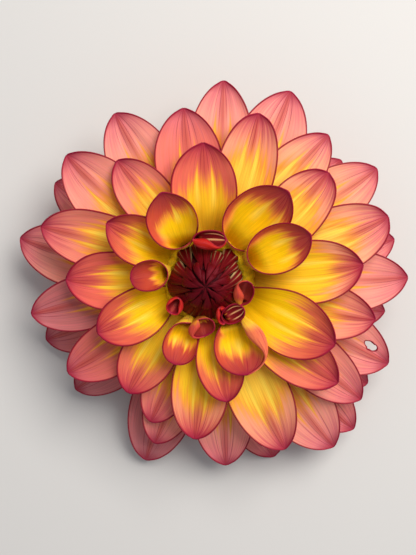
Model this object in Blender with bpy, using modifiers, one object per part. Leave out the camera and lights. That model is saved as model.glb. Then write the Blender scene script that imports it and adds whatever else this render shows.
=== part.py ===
"""Cut dahlia head lying on its back: ray florets, closed centre florets, bracts and stalk stub.

Metres, +Z up. The flower faces up and leans a little. The origin is the middle of its outline on
the surface that it lies on. Lengths in the tables below are in millimetres, angles in degrees.
"""

import math
import random

import bmesh
import bpy
from mathutils import Matrix, Vector

MM = 0.001

# Where the head stands: its axis runs from a foot on the surface to the tip of the centre
HEAD_LEAN = math.radians(9)
LEAN_TOWARDS = math.radians(-104)
HEAD_HEIGHT = 41 * MM
APEX_PLACE = Vector((-1.4, -2.3)) * MM

# Core that the ray florets grow from, as radius and height up the axis
RAY_CORE_PROFILE = ((0, 26.8), (10.2, 26.8), (12.2, 25.2), (12.4, 21), (11.0, 16), (9.2, 13.7), (0, 13.7))
RAY_CORE_STEPS = 20
ROOT_DEPTH = 1.4 * MM

# Ray florets in rings, youngest ring first: azimuth and reach of the tip from the apex, seen from
# above, width of the blade, and the way that the tip points
RAY_RINGS = (
    ((172, 21.4, 9.4, 175), (247, 24.5, 11.2, 242), (297, 28.2, 15.2, 276), (121, 29.4, 14.2, 130),
     (28, 33.4, 14.4, 27)),
    ((51, 35.7, 14.4, 45), (147, 33.8, 14.6, 152), (203, 34.4, 15.6, 203), (281, 34.5, 14.0, 282),
     (336, 41.2, 18.4, 338)),
    ((91, 41.4, 19.0, 91), (8, 46.3, 18.8, 9), (234, 39.5, 16.0, 245), (177, 41.3, 17.4, 178),
     (324, 48.6, 16.6, 328), (266, 46.2, 17.2, 263)),
    ((125, 45.3, 15.6, 129), (73, 52.6, 16.8, 80), (296, 55.5, 18.4, 296), (248, 44.9, 15.2, 246),
     (212, 49.1, 16.4, 208), (160, 52.2, 17.2, 169), (349, 51.6, 17.2, 352), (43, 49.0, 16.6, 52)),
    ((97, 53.1, 20.0, 94), (137, 57.2, 16.8, 130), (189, 54.3, 17.2, 196), (21, 58.3, 18.0, 26),
     (252, 51.7, 16.8, 249), (324, 59.1, 17.4, 320)),
    ((117, 59.0, 17.8, 126), (85, 61.6, 18.2, 88), (51, 58.4, 17.4, 47), (2, 61.2, 18.0, 7),
     (309, 64.5, 18.0, 306), (277, 57.1, 16.6, 272)),
    ((67, 64.3, 17.8, 69), (34, 63.2, 17.4, 39), (337, 61.4, 17.2, 339), (251, 59.4, 18.4, 243),
     (166, 60.1, 17.8, 157), (219, 53.3, 17.4, 214), (316, 65.2, 17.2, 317)),
    ((14, 60.3, 17.0, 15), (141, 57.7, 16.6, 140), (197, 54.2, 17.4, 200), (43, 57.3, 16.4, 46),
     (352, 57.3, 16.6, 352), (329, 60.0, 16.6, 334), (293, 59.3, 17.4, 294)),
)
RAY_THICKNESS = 0.7 * MM
RAY_CELLS = (6, 4)

# How a ray floret changes with age: values for the youngest, the middle and the oldest ring
RAY_TIP_HEIGHT = (41.5, 25.5, 10.5)
RAY_ROOT_HEIGHT = (25.6, 20.5, 15.6)
RAY_ROOT_RISE = (72, 38, 8)
RAY_TIP_RISE = (26, -8, -20)
RAY_CUP = (54, 26, 17)
RAY_FLARE = (2.2, 1.4, 1.3)
RAY_POINT = (0.55, 0.74, 0.78)
ROOT_TURN = 0.6

# Shape of every blade: share of the width at the claw, where the claw has opened, the widest
# place, how full the outer half is, the cup at the root, the handles of the midrib as a share of
# its length, and how far the rows crowd towards the tip
CLAW_WIDTH = 0.2
CLAW_END = 0.4
WIDEST_AT = 0.6
FULLNESS = 2.2
CLAW_CUP = math.radians(62)
RIB_HANDLE = 0.38
ROW_CROWDING = 1.35

# Half-rolled young florets round the centre: azimuth, reach, width, cup and height of the tip
YOUNG_CURLS = (
    (267, 15.0, 5.2, 112, 37.5), (214, 14.6, 4.2, 112, 36.5), (87, 15.2, 7.6, 76, 38.5),
    (348, 14.2, 4.6, 100, 37.0), (309, 14.3, 5.2, 95, 36.0),
)
CURL_ROOT_HEIGHT = 25.8 * MM
CURL_ROOT_RISE = math.radians(48)
CURL_TIP_RISE = math.radians(96)
CURL_OUTLINE = (1.6, 0.5)

# Oldest florets, hidden under the others, which bend back until their tips touch the surface
BACK_FLORETS = 11
BACK_REACH = 45 * MM
BACK_REACH_SPREAD = 0.06
BACK_WIDTH = 15 * MM
BACK_CELLS = (5, 2)
BACK_CUP = math.radians(20)
BACK_OUTLINE = (1.3, 0.8)
BACK_ROOT_HEIGHT = 14.9 * MM
BACK_ROOT_RISE = math.radians(-2)
BACK_TIP_RISE = (-42, -34)
BACK_TIP_CLEARANCE = 0.36 * MM
BACK_START_AZIMUTH = math.radians(20)
GOLDEN_ANGLE = math.pi * (3 - math.sqrt(5))

# Closed centre florets on their own small dome
CENTRE_FLORETS = 30
CENTRE_SPREAD = 10.8 * MM
CENTRE_RISE = 13.5 * MM
CENTRE_RADIUS = 12.6 * MM
CENTRE_CORE_PROFILE = ((0, 36.8), (3.8, 36), (6.8, 33), (8.0, 29.5), (8.2, 27.2), (0, 27.2))
CENTRE_CORE_STEPS = 16
POD_HALF_WIDTH = 2.2 * MM
POD_HALF_DEPTH = 1.2 * MM
POD_YOUNG_SIZE = 0.62
POD_LENGTH = 5.5 * MM
POD_SHOULDER = 0.9 * MM
POD_FIRST_TIP_RADIUS = 0.15 * MM
POD_TIP_SHARE = 0.25

# Stalk stub with the receptacle, and the leafy outer bracts on it, with their roots and tips as
# radius and height
STALK_PROFILE = ((0, 12.1), (8.2, 12.1), (8.6, 11.3), (7.4, 10.2), (4.3, 8.6), (3.2, 6.2), (3.1, -4), (0, -4))
STALK_STEPS = 20
CUTTER_SIZE = 40 * MM
BRACT_CELLS = (5, 2)
OUTER_BRACTS = 6
OUTER_BRACT_ROOT = (6.8, 11.0)
OUTER_BRACT_TIP = (22.8, 5.4)
OUTER_BRACT_SLOPES = (-4, -38)
OUTER_BRACT_WIDTH = 7.6 * MM
OUTER_BRACT_CUP = math.radians(24)
OUTER_BRACT_OUTLINE = (1.5, 0.8)
OUTER_BRACT_THICKNESS = 0.8 * MM

# Papery inner bracts, in a ring between the receptacle and the ray florets, with their roots and
# tips as radius and height
INNER_RING_PROFILE = ((0, 13.3), (8.8, 13.3), (8.8, 12.5), (0, 12.5))
INNER_BRACTS = 8
INNER_BRACT_ROOT = (6.5, 12.9)
INNER_BRACT_TIP = (19.5, 10.3)
INNER_BRACT_SLOPES = (-6, -20)
INNER_BRACT_WIDTH = 8.4 * MM
INNER_BRACT_CUP = math.radians(16)
INNER_BRACT_OUTLINE = (1.5, 0.6)
INNER_BRACT_THICKNESS = 0.6 * MM

COLOURS = {
    "ray_petals": ((0.80, 0.16, 0.06), 0.48),
    "centre_florets": ((0.10, 0.004, 0.012), 0.42),
    "flower_stalk": ((0.16, 0.30, 0.07), 0.55),
    "inner_bracts": ((0.55, 0.60, 0.22), 0.50),
}


def start_clean():
    """Remove every object of the scene."""
    for thing in list(bpy.data.objects):
        bpy.data.objects.remove(thing)


def new_collection(name):
    """Add an empty collection to the scene."""
    collection = bpy.data.collections.new(name)
    bpy.context.scene.collection.children.link(collection)
    return collection


def head_frame():
    """Matrix of the leaning flower head, whose +Z is the flower's axis."""
    tilt_line = Vector((-math.sin(LEAN_TOWARDS), math.cos(LEAN_TOWARDS), 0))
    turn = Matrix.Rotation(HEAD_LEAN, 4, tilt_line)
    apex_height = HEAD_HEIGHT * math.cos(HEAD_LEAN)
    apex = Vector((APEX_PLACE.x, APEX_PLACE.y, apex_height))
    foot = apex - turn @ Vector((0, 0, HEAD_HEIGHT))
    return Matrix.Translation(foot) @ turn


def around(azimuth, radius, height):
    """Point in the head's frame from its azimuth, radius and height."""
    return Vector((radius * math.cos(azimuth), radius * math.sin(azimuth), height))


def heading(azimuth, slope):
    """Unit direction with an azimuth, rising at a slope."""
    return around(azimuth, math.cos(slope), math.sin(slope))


def bezier_point(rib, t):
    """Point on a cubic curve."""
    s = 1 - t
    return rib[0] * s**3 + rib[1] * 3 * s * s * t + rib[2] * 3 * s * t * t + rib[3] * t**3


def bezier_way(rib, t):
    """Unit tangent of a cubic curve."""
    s = 1 - t
    way = (rib[1] - rib[0]) * s * s + (rib[2] - rib[1]) * 2 * s * t + (rib[3] - rib[2]) * t * t
    return way.normalized()


def midrib(root, root_way, tip, tip_way):
    """Cubic curve of a blade's midrib from its root to its tip."""
    handle = (tip - root).length * RIB_HANDLE
    return (root, root + root_way * handle, tip - tip_way * handle, tip)


def blade_width(t, flare, point):
    """Share of the full width at a place along the blade: a narrow claw, then a pointed oval."""
    if t < WIDEST_AT:
        return CLAW_WIDTH + (1 - CLAW_WIDTH) * math.sin(math.pi / 2 * t / WIDEST_AT) ** flare
    past = (t - WIDEST_AT) / (1 - WIDEST_AT)
    return max(1 - past**FULLNESS, 0) ** point


def new_object(name, mesh, collection):
    """Put a mesh into a collection as an object."""
    thing = bpy.data.objects.new(name, mesh)
    collection.objects.link(thing)
    return thing


def blade(name, collection, rib, sides, width, cup, outline, thickness, cells):
    """Cupped blade along a midrib: a grid laid over it, split in triangles, with a thickness."""
    rows, columns = cells
    work = bmesh.new()
    bmesh.ops.create_grid(work, x_segments=columns, y_segments=rows, size=0.5)
    for corner in work.verts:
        across = corner.co.x * 2
        t = 1 - (0.5 - corner.co.y) ** ROW_CROWDING
        way = bezier_way(rib, t)
        side = sides[0].lerp(sides[1], t)
        side = (side - way * side.dot(way)).normalized()
        up = side.cross(way)
        opened = min(t / CLAW_END, 1)
        angle = CLAW_CUP + (cup - CLAW_CUP) * opened
        half = width * blade_width(t, *outline) / 2
        bend = half / math.sin(min(angle, math.pi / 2))
        turn = across * angle
        corner.co = bezier_point(rib, t) + side * bend * math.sin(turn) + up * bend * (1 - math.cos(turn))
    bmesh.ops.remove_doubles(work, verts=work.verts, dist=1e-6)
    bmesh.ops.triangulate(work, faces=work.faces)
    mesh = bpy.data.meshes.new(name)
    work.to_mesh(mesh)
    work.free()
    thing = new_object(name, mesh, collection)
    shell = thing.modifiers.new("thickness", "SOLIDIFY")
    shell.thickness = thickness
    shell.offset = 0
    return thing


def pod(name, collection, rib, side, half_width, half_depth):
    """Closed floret: a sphere drawn out along a curve, to a point at its tip."""
    work = bmesh.new()
    bmesh.ops.create_uvsphere(work, u_segments=6, v_segments=4, radius=1)
    for corner in work.verts:
        t = (corner.co.z + 1) / 2
        way = bezier_way(rib, t)
        under = way.cross(side).normalized()
        swell = 1.15 - 0.55 * t
        place = bezier_point(rib, t)
        corner.co = place + (side * corner.co.x * half_width + under * corner.co.y * half_depth) * swell
    mesh = bpy.data.meshes.new(name)
    work.to_mesh(mesh)
    work.free()
    return new_object(name, mesh, collection)


def turned(name, collection, profile, steps):
    """Solid turned round the head's axis from a profile that runs down its outer side."""
    mesh = bpy.data.meshes.new(name)
    points = [(radius * MM, 0, height * MM) for radius, height in profile]
    mesh.from_pydata(points, [(i, i + 1) for i in range(len(points) - 1)], [])
    thing = new_object(name, mesh, collection)
    screw = thing.modifiers.new("turn", "SCREW")
    screw.steps = steps
    screw.render_steps = steps
    screw.use_merge_vertices = True
    screw.merge_threshold = 0.00001
    return thing


def core_radius(height):
    """Radius of the ray core at a height, between its profile's points."""
    profile = [(z * MM, r * MM) for r, z in RAY_CORE_PROFILE[1:-1]]
    for (upper, wide), (lower, narrow) in zip(profile, profile[1:]):
        if height >= lower:
            share = min((height - lower) / (upper - lower), 1)
            return narrow + (wide - narrow) * share
    return profile[-1][1]


def tip_place(frame, azimuth, reach, height):
    """Tip of a floret in the head's frame, from its plan place and its height above the foot."""
    plan = Vector((APEX_PLACE.x + reach * math.cos(azimuth), APEX_PLACE.y + reach * math.sin(azimuth), 0))
    back = frame.inverted()
    low = back @ plan
    rise = back.to_3x3() @ Vector((0, 0, 1))
    return low + rise * ((height - low.z) / rise.z)


def ray_rib(frame, azimuth, reach, points_to, tip_height, root_height, root_rise, tip_rise):
    """Midrib of a ray floret, and the direction to its right at its root and its tip."""
    root_azimuth = azimuth - ROOT_TURN * (points_to - azimuth)
    root = around(root_azimuth, core_radius(root_height) - ROOT_DEPTH, root_height)
    tip = tip_place(frame, azimuth, reach, tip_height)
    rib = midrib(root, heading(root_azimuth, root_rise), tip, heading(points_to, tip_rise))
    return rib, (heading(root_azimuth - math.pi / 2, 0), heading(points_to - math.pi / 2, 0))


def aged(age, values):
    """Value at an age from 0 to 1, on the parabola through the values at 0, 0.5 and 1."""
    young, middle, old = values
    bend = 2 * (young + old - 2 * middle)
    return young + (old - young - bend) * age + bend * age * age


def ray_florets(frame, collection):
    """Opened ray florets, from the short upright ones at the centre to the flat outer ones."""
    for ring, rows in enumerate(RAY_RINGS):
        age = ring / (len(RAY_RINGS) - 1)
        for place, (azimuth, reach, width, points_to) in enumerate(rows):
            rib, sides = ray_rib(
                frame, math.radians(azimuth), reach * MM, math.radians(points_to),
                aged(age, RAY_TIP_HEIGHT) * MM, aged(age, RAY_ROOT_HEIGHT) * MM,
                math.radians(aged(age, RAY_ROOT_RISE)), math.radians(aged(age, RAY_TIP_RISE)),
            )
            blade(
                f"ray_{ring}_{place}", collection, rib, sides, width * MM,
                math.radians(aged(age, RAY_CUP)), (aged(age, RAY_FLARE), aged(age, RAY_POINT)),
                RAY_THICKNESS, RAY_CELLS,
            )


def young_curls(frame, collection):
    """Short florets beside the centre, whose blades are still rolled."""
    for place, (azimuth, reach, width, cup, height) in enumerate(YOUNG_CURLS):
        angle = math.radians(azimuth)
        rib, sides = ray_rib(
            frame, angle, reach * MM, angle, height * MM,
            CURL_ROOT_HEIGHT, CURL_ROOT_RISE, CURL_TIP_RISE,
        )
        blade(
            f"curl_{place}", collection, rib, sides, width * MM, math.radians(cup), CURL_OUTLINE,
            RAY_THICKNESS, RAY_CELLS,
        )


def back_florets(frame, collection):
    """Oldest florets under the others, bent back to the surface all round."""
    chance = random.Random(7)
    for place in range(BACK_FLORETS):
        angle = BACK_START_AZIMUTH + place * GOLDEN_ANGLE
        reach = BACK_REACH * chance.uniform(1 - BACK_REACH_SPREAD, 1 + BACK_REACH_SPREAD)
        tip = tip_place(frame, angle, reach, 0)
        tip.z += (BACK_TIP_CLEARANCE - (frame @ tip).z) / math.cos(HEAD_LEAN)
        root = around(angle, core_radius(BACK_ROOT_HEIGHT) - ROOT_DEPTH, BACK_ROOT_HEIGHT)
        tip_way = heading(angle, math.radians(chance.uniform(*BACK_TIP_RISE)))
        rib = midrib(root, heading(angle, BACK_ROOT_RISE), tip, tip_way)
        side = heading(angle - math.pi / 2, 0)
        blade(
            f"back_{place}", collection, rib, (side, side), BACK_WIDTH, BACK_CUP, BACK_OUTLINE,
            RAY_THICKNESS, BACK_CELLS,
        )


def dome_height(radius):
    """Height of the centre's outer form at a radius."""
    return HEAD_HEIGHT - CENTRE_RISE * (1 - math.sqrt(1 - (radius / CENTRE_RADIUS) ** 2))


def centre_florets(collection):
    """Closed florets on the golden angle, each bent inwards over the dome."""
    for place in range(CENTRE_FLORETS):
        angle = place * GOLDEN_ANGLE
        radius = CENTRE_SPREAD * math.sqrt((place + 0.6) / CENTRE_FLORETS)
        height = dome_height(radius)
        tip_radius = POD_FIRST_TIP_RADIUS + POD_TIP_SHARE * radius
        rib = (
            around(angle, radius * 0.85, height - POD_LENGTH),
            around(angle, radius + POD_SHOULDER, height - POD_LENGTH / 3),
            around(angle, (radius + tip_radius + POD_SHOULDER) / 2, height),
            around(angle, tip_radius, dome_height(tip_radius) - 0.3 * MM),
        )
        size = POD_YOUNG_SIZE + (1 - POD_YOUNG_SIZE) * radius / CENTRE_SPREAD
        side = heading(angle - math.pi / 2, 0)
        pod(f"centre_{place}", collection, rib, side, POD_HALF_WIDTH * size, POD_HALF_DEPTH * size)


def bract_ring(name, collection, count, root, tip, slopes, width, cup, outline, thickness):
    """Ring of equal bracts, from their root and tip as radius and height."""
    for place in range(count):
        angle = math.tau * place / count
        ways = [heading(angle, math.radians(slope)) for slope in slopes]
        ends = [around(angle, radius * MM, height * MM) for radius, height in (root, tip)]
        rib = midrib(ends[0], ways[0], ends[1], ways[1])
        side = heading(angle - math.pi / 2, 0)
        blade(
            f"{name}_{place}", collection, rib, (side, side), width, cup, outline, thickness,
            BRACT_CELLS,
        )


def island_volume(faces):
    """Signed volume inside a group of faces."""
    total = 0
    for face in faces:
        corners = [corner.co for corner in face.verts]
        for second, third in zip(corners[1:], corners[2:]):
            total += corners[0].dot(second.cross(third)) / 6
    return total


def keep_one_body(mesh):
    """Keep the largest body, filling any sealed hollow and dropping any loose scrap."""
    work = bmesh.new()
    work.from_mesh(mesh)
    islands = []
    unseen = set(work.faces)
    while unseen:
        island = []
        waiting = [unseen.pop()]
        while waiting:
            face = waiting.pop()
            island.append(face)
            near = {other for edge in face.edges for other in edge.link_faces if other in unseen}
            unseen -= near
            waiting.extend(near)
        islands.append(island)
    islands.sort(key=island_volume, reverse=True)
    rest = [face for island in islands[1:] for face in island]
    bmesh.ops.delete(work, geom=rest, context="FACES")
    bmesh.ops.triangulate(work, faces=work.faces)
    work.to_mesh(mesh)
    work.free()


def fuse(core, repeats):
    """Join a core and the collection of what grows from it into one solid."""
    join = core.modifiers.new("join", "BOOLEAN")
    join.operation = "UNION"
    join.operand_type = "COLLECTION"
    join.collection = repeats
    join.solver = "MANIFOLD"
    graph = bpy.context.evaluated_depsgraph_get()
    graph.update()
    mesh = bpy.data.meshes.new_from_object(core.evaluated_get(graph))
    keep_one_body(mesh)
    core.modifiers.clear()
    core.data = mesh
    for thing in list(repeats.objects):
        bpy.data.objects.remove(thing)
    bpy.data.collections.remove(repeats)
    return core


def cut_flat(thing, cutters):
    """Cut a node off level at the surface it lies on."""
    bpy.ops.mesh.primitive_cube_add(size=CUTTER_SIZE, location=(0, 0, -CUTTER_SIZE / 2))
    cutter = bpy.context.object
    for home in list(cutter.users_collection):
        home.objects.unlink(cutter)
    cutters.objects.link(cutter)
    cutter.name = "surface_cutter"
    cutter.hide_render = True
    cutter.display_type = "WIRE"
    cut = thing.modifiers.new("cut", "BOOLEAN")
    cut.operation = "DIFFERENCE"
    cut.object = cutter


def finish(thing, frame):
    """Stand a node in the leaning head's frame and give it its material."""
    thing.matrix_world = frame
    colour, roughness = COLOURS[thing.name]
    material = bpy.data.materials.new(thing.name)
    material.use_nodes = True
    shader = material.node_tree.nodes["Principled BSDF"]
    shader.inputs["Base Color"].default_value = (*colour, 1)
    shader.inputs["Roughness"].default_value = roughness
    shader.inputs["Metallic"].default_value = 0
    thing.data.materials.clear()
    thing.data.materials.append(material)


def build():
    """Build the four nodes of the flower head."""
    start_clean()
    flower = new_collection("dahlia_flower")
    cutters = new_collection("cutters")
    frame = head_frame()

    petals = new_collection("ray_repeats")
    ray_florets(frame, petals)
    young_curls(frame, petals)
    back_florets(frame, petals)
    ray_petals = fuse(turned("ray_petals", flower, RAY_CORE_PROFILE, RAY_CORE_STEPS), petals)
    finish(ray_petals, frame)

    pods = new_collection("centre_repeats")
    centre_florets(pods)
    centre = fuse(turned("centre_florets", flower, CENTRE_CORE_PROFILE, CENTRE_CORE_STEPS), pods)
    finish(centre, frame)

    leaves = new_collection("outer_repeats")
    bract_ring(
        "outer_bract", leaves, OUTER_BRACTS, OUTER_BRACT_ROOT, OUTER_BRACT_TIP, OUTER_BRACT_SLOPES,
        OUTER_BRACT_WIDTH, OUTER_BRACT_CUP, OUTER_BRACT_OUTLINE, OUTER_BRACT_THICKNESS,
    )
    stalk = fuse(turned("flower_stalk", flower, STALK_PROFILE, STALK_STEPS), leaves)
    finish(stalk, frame)
    cut_flat(stalk, cutters)

    papers = new_collection("inner_repeats")
    bract_ring(
        "inner_bract", papers, INNER_BRACTS, INNER_BRACT_ROOT, INNER_BRACT_TIP, INNER_BRACT_SLOPES,
        INNER_BRACT_WIDTH, INNER_BRACT_CUP, INNER_BRACT_OUTLINE, INNER_BRACT_THICKNESS,
    )
    ring = fuse(turned("inner_bracts", flower, INNER_RING_PROFILE, STALK_STEPS), papers)
    finish(ring, frame)


build()
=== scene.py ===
"""Looks of a cut dahlia head lying on its back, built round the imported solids.

Every piece stands for one of the four solids and keeps its form: the ray petals with the curls
beside the centre, the closed florets of the centre, the papery inner bracts, and the stub of the
stalk with its leafy outer bracts. In the tables, lengths are in millimetres and angles in degrees.
"""

import logging
import math
import random
from dataclasses import dataclass
from enum import Enum

import bmesh
import bpy
import numpy as np
from mathutils import Matrix, Vector
from mathutils.bvhtree import BVHTree


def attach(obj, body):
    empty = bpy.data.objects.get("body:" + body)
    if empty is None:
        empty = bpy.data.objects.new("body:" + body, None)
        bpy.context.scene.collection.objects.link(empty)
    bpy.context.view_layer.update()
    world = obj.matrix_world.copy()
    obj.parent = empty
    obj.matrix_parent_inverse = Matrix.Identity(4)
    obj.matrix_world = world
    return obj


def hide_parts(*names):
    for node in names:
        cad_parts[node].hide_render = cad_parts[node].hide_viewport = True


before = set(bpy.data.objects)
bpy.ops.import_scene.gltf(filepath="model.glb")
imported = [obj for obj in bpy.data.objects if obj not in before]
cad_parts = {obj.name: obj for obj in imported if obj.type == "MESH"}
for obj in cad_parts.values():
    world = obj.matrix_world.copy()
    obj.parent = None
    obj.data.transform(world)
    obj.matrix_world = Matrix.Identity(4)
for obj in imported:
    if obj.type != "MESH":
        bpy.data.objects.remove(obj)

log = logging.getLogger("dahlia")

MM = 0.001
GOLDEN_ANGLE = math.pi * (3 - math.sqrt(5))
Array = np.ndarray
Mesh = bpy.types.Mesh
Piece = bpy.types.Object
Material = bpy.types.Material
NodeTree = bpy.types.NodeTree
Colour = tuple[float, float, float]
Span = tuple[float, float]
Ages = tuple[float, float, float]
Profile = tuple[Span, ...]
Face = tuple[int, ...]
Numbers = tuple[Array | float, ...]
Faces = tuple[Material, Material]


class Slot(Enum):
    """Material slots of the record."""

    PETAL = "petal"
    CENTRE = "centre"
    GREEN = "green"
    BRACT = "bract"


class Solid(Enum):
    """Solids of the frame that pieces stand for."""

    PETALS = "ray_petals"
    CENTRE = "centre_florets"
    STALK = "flower_stalk"
    BRACTS = "inner_bracts"


# Forms


def smooth(low: float, high: float, value: Array) -> Array:
    """Smooth rise from 0 at low to 1 at high, read at the values."""
    share = np.clip((value - low) / (high - low), 0, 1)
    return share * share * (3 - 2 * share)


def unit(vectors: Array) -> Array:
    """Vectors at length 1."""
    return vectors / np.linalg.norm(vectors, axis=-1, keepdims=True)


def around(azimuth: float, radius: float, height: float) -> Array:
    """Point in the head's frame from its azimuth, radius and height."""
    return np.array((radius * math.cos(azimuth), radius * math.sin(azimuth), height))


def heading(azimuth: float, slope: float) -> Array:
    """Unit direction with an azimuth, rising at a slope."""
    return around(azimuth, math.cos(slope), math.sin(slope))


def right_of(azimuth: float) -> Array:
    """Level direction to the right of an azimuth."""
    return heading(azimuth - math.pi / 2, 0)


@dataclass(frozen=True)
class Head:
    """The leaning flower head, whose own +Z is the flower's axis."""

    lean: float = math.radians(9)
    towards: float = math.radians(-104)
    height: float = 41 * MM
    apex: Span = (-1.4 * MM, -2.3 * MM)

    def matrix(self) -> Matrix:
        """Matrix from the head's frame to the object's frame.

        Returns:
            Matrix that leans the head and puts its apex in place.
        """
        tilt_line = Vector((-math.sin(self.towards), math.cos(self.towards), 0))
        turn = Matrix.Rotation(self.lean, 4, tilt_line)
        top = Vector((*self.apex, self.height * math.cos(self.lean)))
        return Matrix.Translation(top - turn @ Vector((0, 0, self.height))) @ turn

    def under_plan(self, azimuth: float, reach: float, height: float) -> Array:
        """Point of the head's frame that is seen at a place from straight above.

        Args:
            azimuth: Direction from the apex, seen from above.
            reach: Distance from the apex, seen from above.
            height: Height up the head's axis.

        Returns:
            The point in the head's frame.
        """
        x = self.apex[0] + reach * math.cos(azimuth)
        y = self.apex[1] + reach * math.sin(azimuth)
        back = self.matrix().inverted()
        low = back @ Vector((x, y, 0))
        rise = back.to_3x3() @ Vector((0, 0, 1))
        return np.array(low + rise * ((height - low.z) / rise.z))


HEAD = Head()
UP = np.array((0.0, 0.0, 1.0))
RIB_HANDLE = 0.38


@dataclass(frozen=True)
class Rib:
    """Midrib of a blade: a cubic curve, with the direction to its right at both ends."""

    points: Array
    rights: tuple[Array, Array]

    @staticmethod
    def between(root: Array, tip: Array, azimuths: Span, slopes: Span) -> "Rib":
        """Midrib that leaves its root and reaches its tip in given directions.

        Args:
            root: Where it starts.
            tip: Where it ends.
            azimuths: Azimuths of its direction at the root and the tip.
            slopes: Slopes there, in degrees.

        Returns:
            The midrib.
        """
        start, end = (heading(azimuth, math.radians(slope)) for azimuth, slope in zip(azimuths, slopes))
        handle = np.linalg.norm(tip - root) * RIB_HANDLE
        points = np.stack((root, root + start * handle, tip - end * handle, tip))
        return Rib(points, (right_of(azimuths[0]), right_of(azimuths[1])))

    def places(self, t: Array) -> Array:
        """Points along the midrib."""
        s = 1 - t
        return np.stack((s**3, 3 * s * s * t, 3 * s * t * t, t**3), axis=-1) @ self.points

    def axes(self, t: Array) -> tuple[Array, Array]:
        """Directions to the right of and up from the midrib.

        Args:
            t: Shares of the way from the root to the tip.

        Returns:
            The two unit directions at each share.
        """
        s = 1 - t
        way = unit(np.stack((s * s, 2 * s * t, t * t), axis=-1) @ np.diff(self.points, axis=0))
        side = self.rights[0] * s[:, None] + self.rights[1] * t[:, None]
        side = unit(side - way * np.sum(side * way, axis=1, keepdims=True))
        return side, np.cross(side, way)


# Every blade's claw, widest place, fullness and the nub at its tip, as shares of length and width.
# The claw's cup is in degrees. Rows of points crowd towards the tip, and columns towards the margins.
CLAW_WIDTH = 0.2
CLAW_END = 0.4
CLAW_CUP = 62
WIDEST_AT = 0.6
FULLNESS = 2.3
NUB_START = 0.972
NUB_WIDTH = 0.13
PINCH_START = 0.8
ROW_CROWDING = 1.35
COLUMN_CROWDING = 0.35
LAST_ROW = 0.9995

# Grooves and keel of a blade as places, widths and shares of the groove's depth
GROOVE_AT, GROOVE_WIDTH, GROOVE_DRAWN_IN = 0.34, 0.11, 0.35
OUTER_GROOVE_AT, OUTER_GROOVE_WIDTH, OUTER_GROOVE_SHARE = 0.68, 0.12, 0.35
KEEL_WIDTH, KEEL_SHARE = 0.13, 0.55

# Veins of a blade, and its ripples: how many, how many waves each has along the blade and across
# it, and how strong they are in its middle. The relief starts along a stretch beyond the root.
VEINS = 6.5
VEIN_DEPTH = 0.035 * MM
RIPPLES = 4
RIPPLES_ALONG = (0.5, 2.2)
RIPPLES_ACROSS = (-1.2, 1.2)
MIDDLE_RIPPLE = 0.25
RELIEF_FROM = (0.08, 0.3)

# How often a pressed patch is widened and then smoothed, and how much of its depth it keeps
WIDENINGS, SMOOTHINGS = 3, 6
KEPT_PRESS = 0.9


def pointed(past: Array, point: float) -> Array:
    """Width from a blade's widest place to its tip: an oval with a small nub.

    Args:
        past: Shares of the way from the widest place to the tip.
        point: How pointed the oval is.

    Returns:
        Shares of the full width.
    """
    oval = np.clip(1 - (past / NUB_START) ** FULLNESS, 0, 1) ** point
    nub = NUB_WIDTH * np.clip((1 - past) / (1 - NUB_START), 0, 1) ** 0.6
    return np.hypot(oval, nub * smooth(0.7, NUB_START, past))


def line_at(across: Array, place: Array | float, width: float) -> Array:
    """Soft line that runs along a blade on both sides of its middle."""
    return np.exp(-(((np.abs(across) - place) / width) ** 2))


@dataclass(frozen=True)
class BladeForm:
    """Form of a blade: its outline, its cup in degrees, and its relief in metres."""

    point: float
    cup: float
    groove: float
    ripple: float = 0.0
    tip_pinch: float = 0.0
    flare: float = 1.3

    def share(self, t: Array) -> Array:
        """Width along the blade as a share of the full width: a claw, then an oval with a small nub.

        Args:
            t: Shares of the length.

        Returns:
            Shares of the full width.
        """
        rise = np.sin(math.pi / 2 * np.clip(t / WIDEST_AT, 0, 1)) ** self.flare
        past = np.clip((t - WIDEST_AT) / (1 - WIDEST_AT), 0, 1)
        return np.where(t < WIDEST_AT, CLAW_WIDTH + (1 - CLAW_WIDTH) * rise, pointed(past, self.point))

    def turns(self, t: Array, v: Array) -> Array:
        """Slope across the width in radians, from shares of the length and places across."""
        cup = CLAW_CUP + (self.cup - CLAW_CUP) * smooth(0, CLAW_END, t)
        return np.radians((cup + self.tip_pinch * smooth(PINCH_START, 1, t))[:, None] * v[None, :])

    def relief(self, t: Array, v: Array, seed: int) -> Array:
        """How far the blade stands out from its plain cupped form.

        Args:
            t: Shares of the length, one per row.
            v: Places across the width, one per column.
            seed: Number that tells one blade from the next.

        Returns:
            Heights in metres, by row and column.
        """
        chance = random.Random(seed)
        across, along = np.meshgrid(v, t)
        drawn_in = 1 - GROOVE_DRAWN_IN * smooth(WIDEST_AT, 1, along)
        grooves = line_at(across, GROOVE_AT * drawn_in, GROOVE_WIDTH)
        outer = line_at(across, OUTER_GROOVE_AT, OUTER_GROOVE_WIDTH)
        keel = line_at(across, 0, KEEL_WIDTH)
        height = -self.groove * (grooves + OUTER_GROOVE_SHARE * outer - KEEL_SHARE * keel)
        veins = np.cos(across * 2 * math.pi * VEINS + chance.uniform(0, 1))
        height += VEIN_DEPTH * veins * (1 - np.abs(across) ** 6)
        for _ in range(RIPPLES):
            steps, turns = chance.uniform(*RIPPLES_ALONG), chance.uniform(*RIPPLES_ACROSS)
            phase = chance.uniform(0, math.tau)
            wave = np.cos(2 * math.pi * (steps * along + turns * across) + phase)
            height += self.ripple * wave * (MIDDLE_RIPPLE + (1 - MIDDLE_RIPPLE) * across**2) / 2
        return height * np.clip(self.share(t), 0, 1)[:, None] * smooth(*RELIEF_FROM, along)


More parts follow.
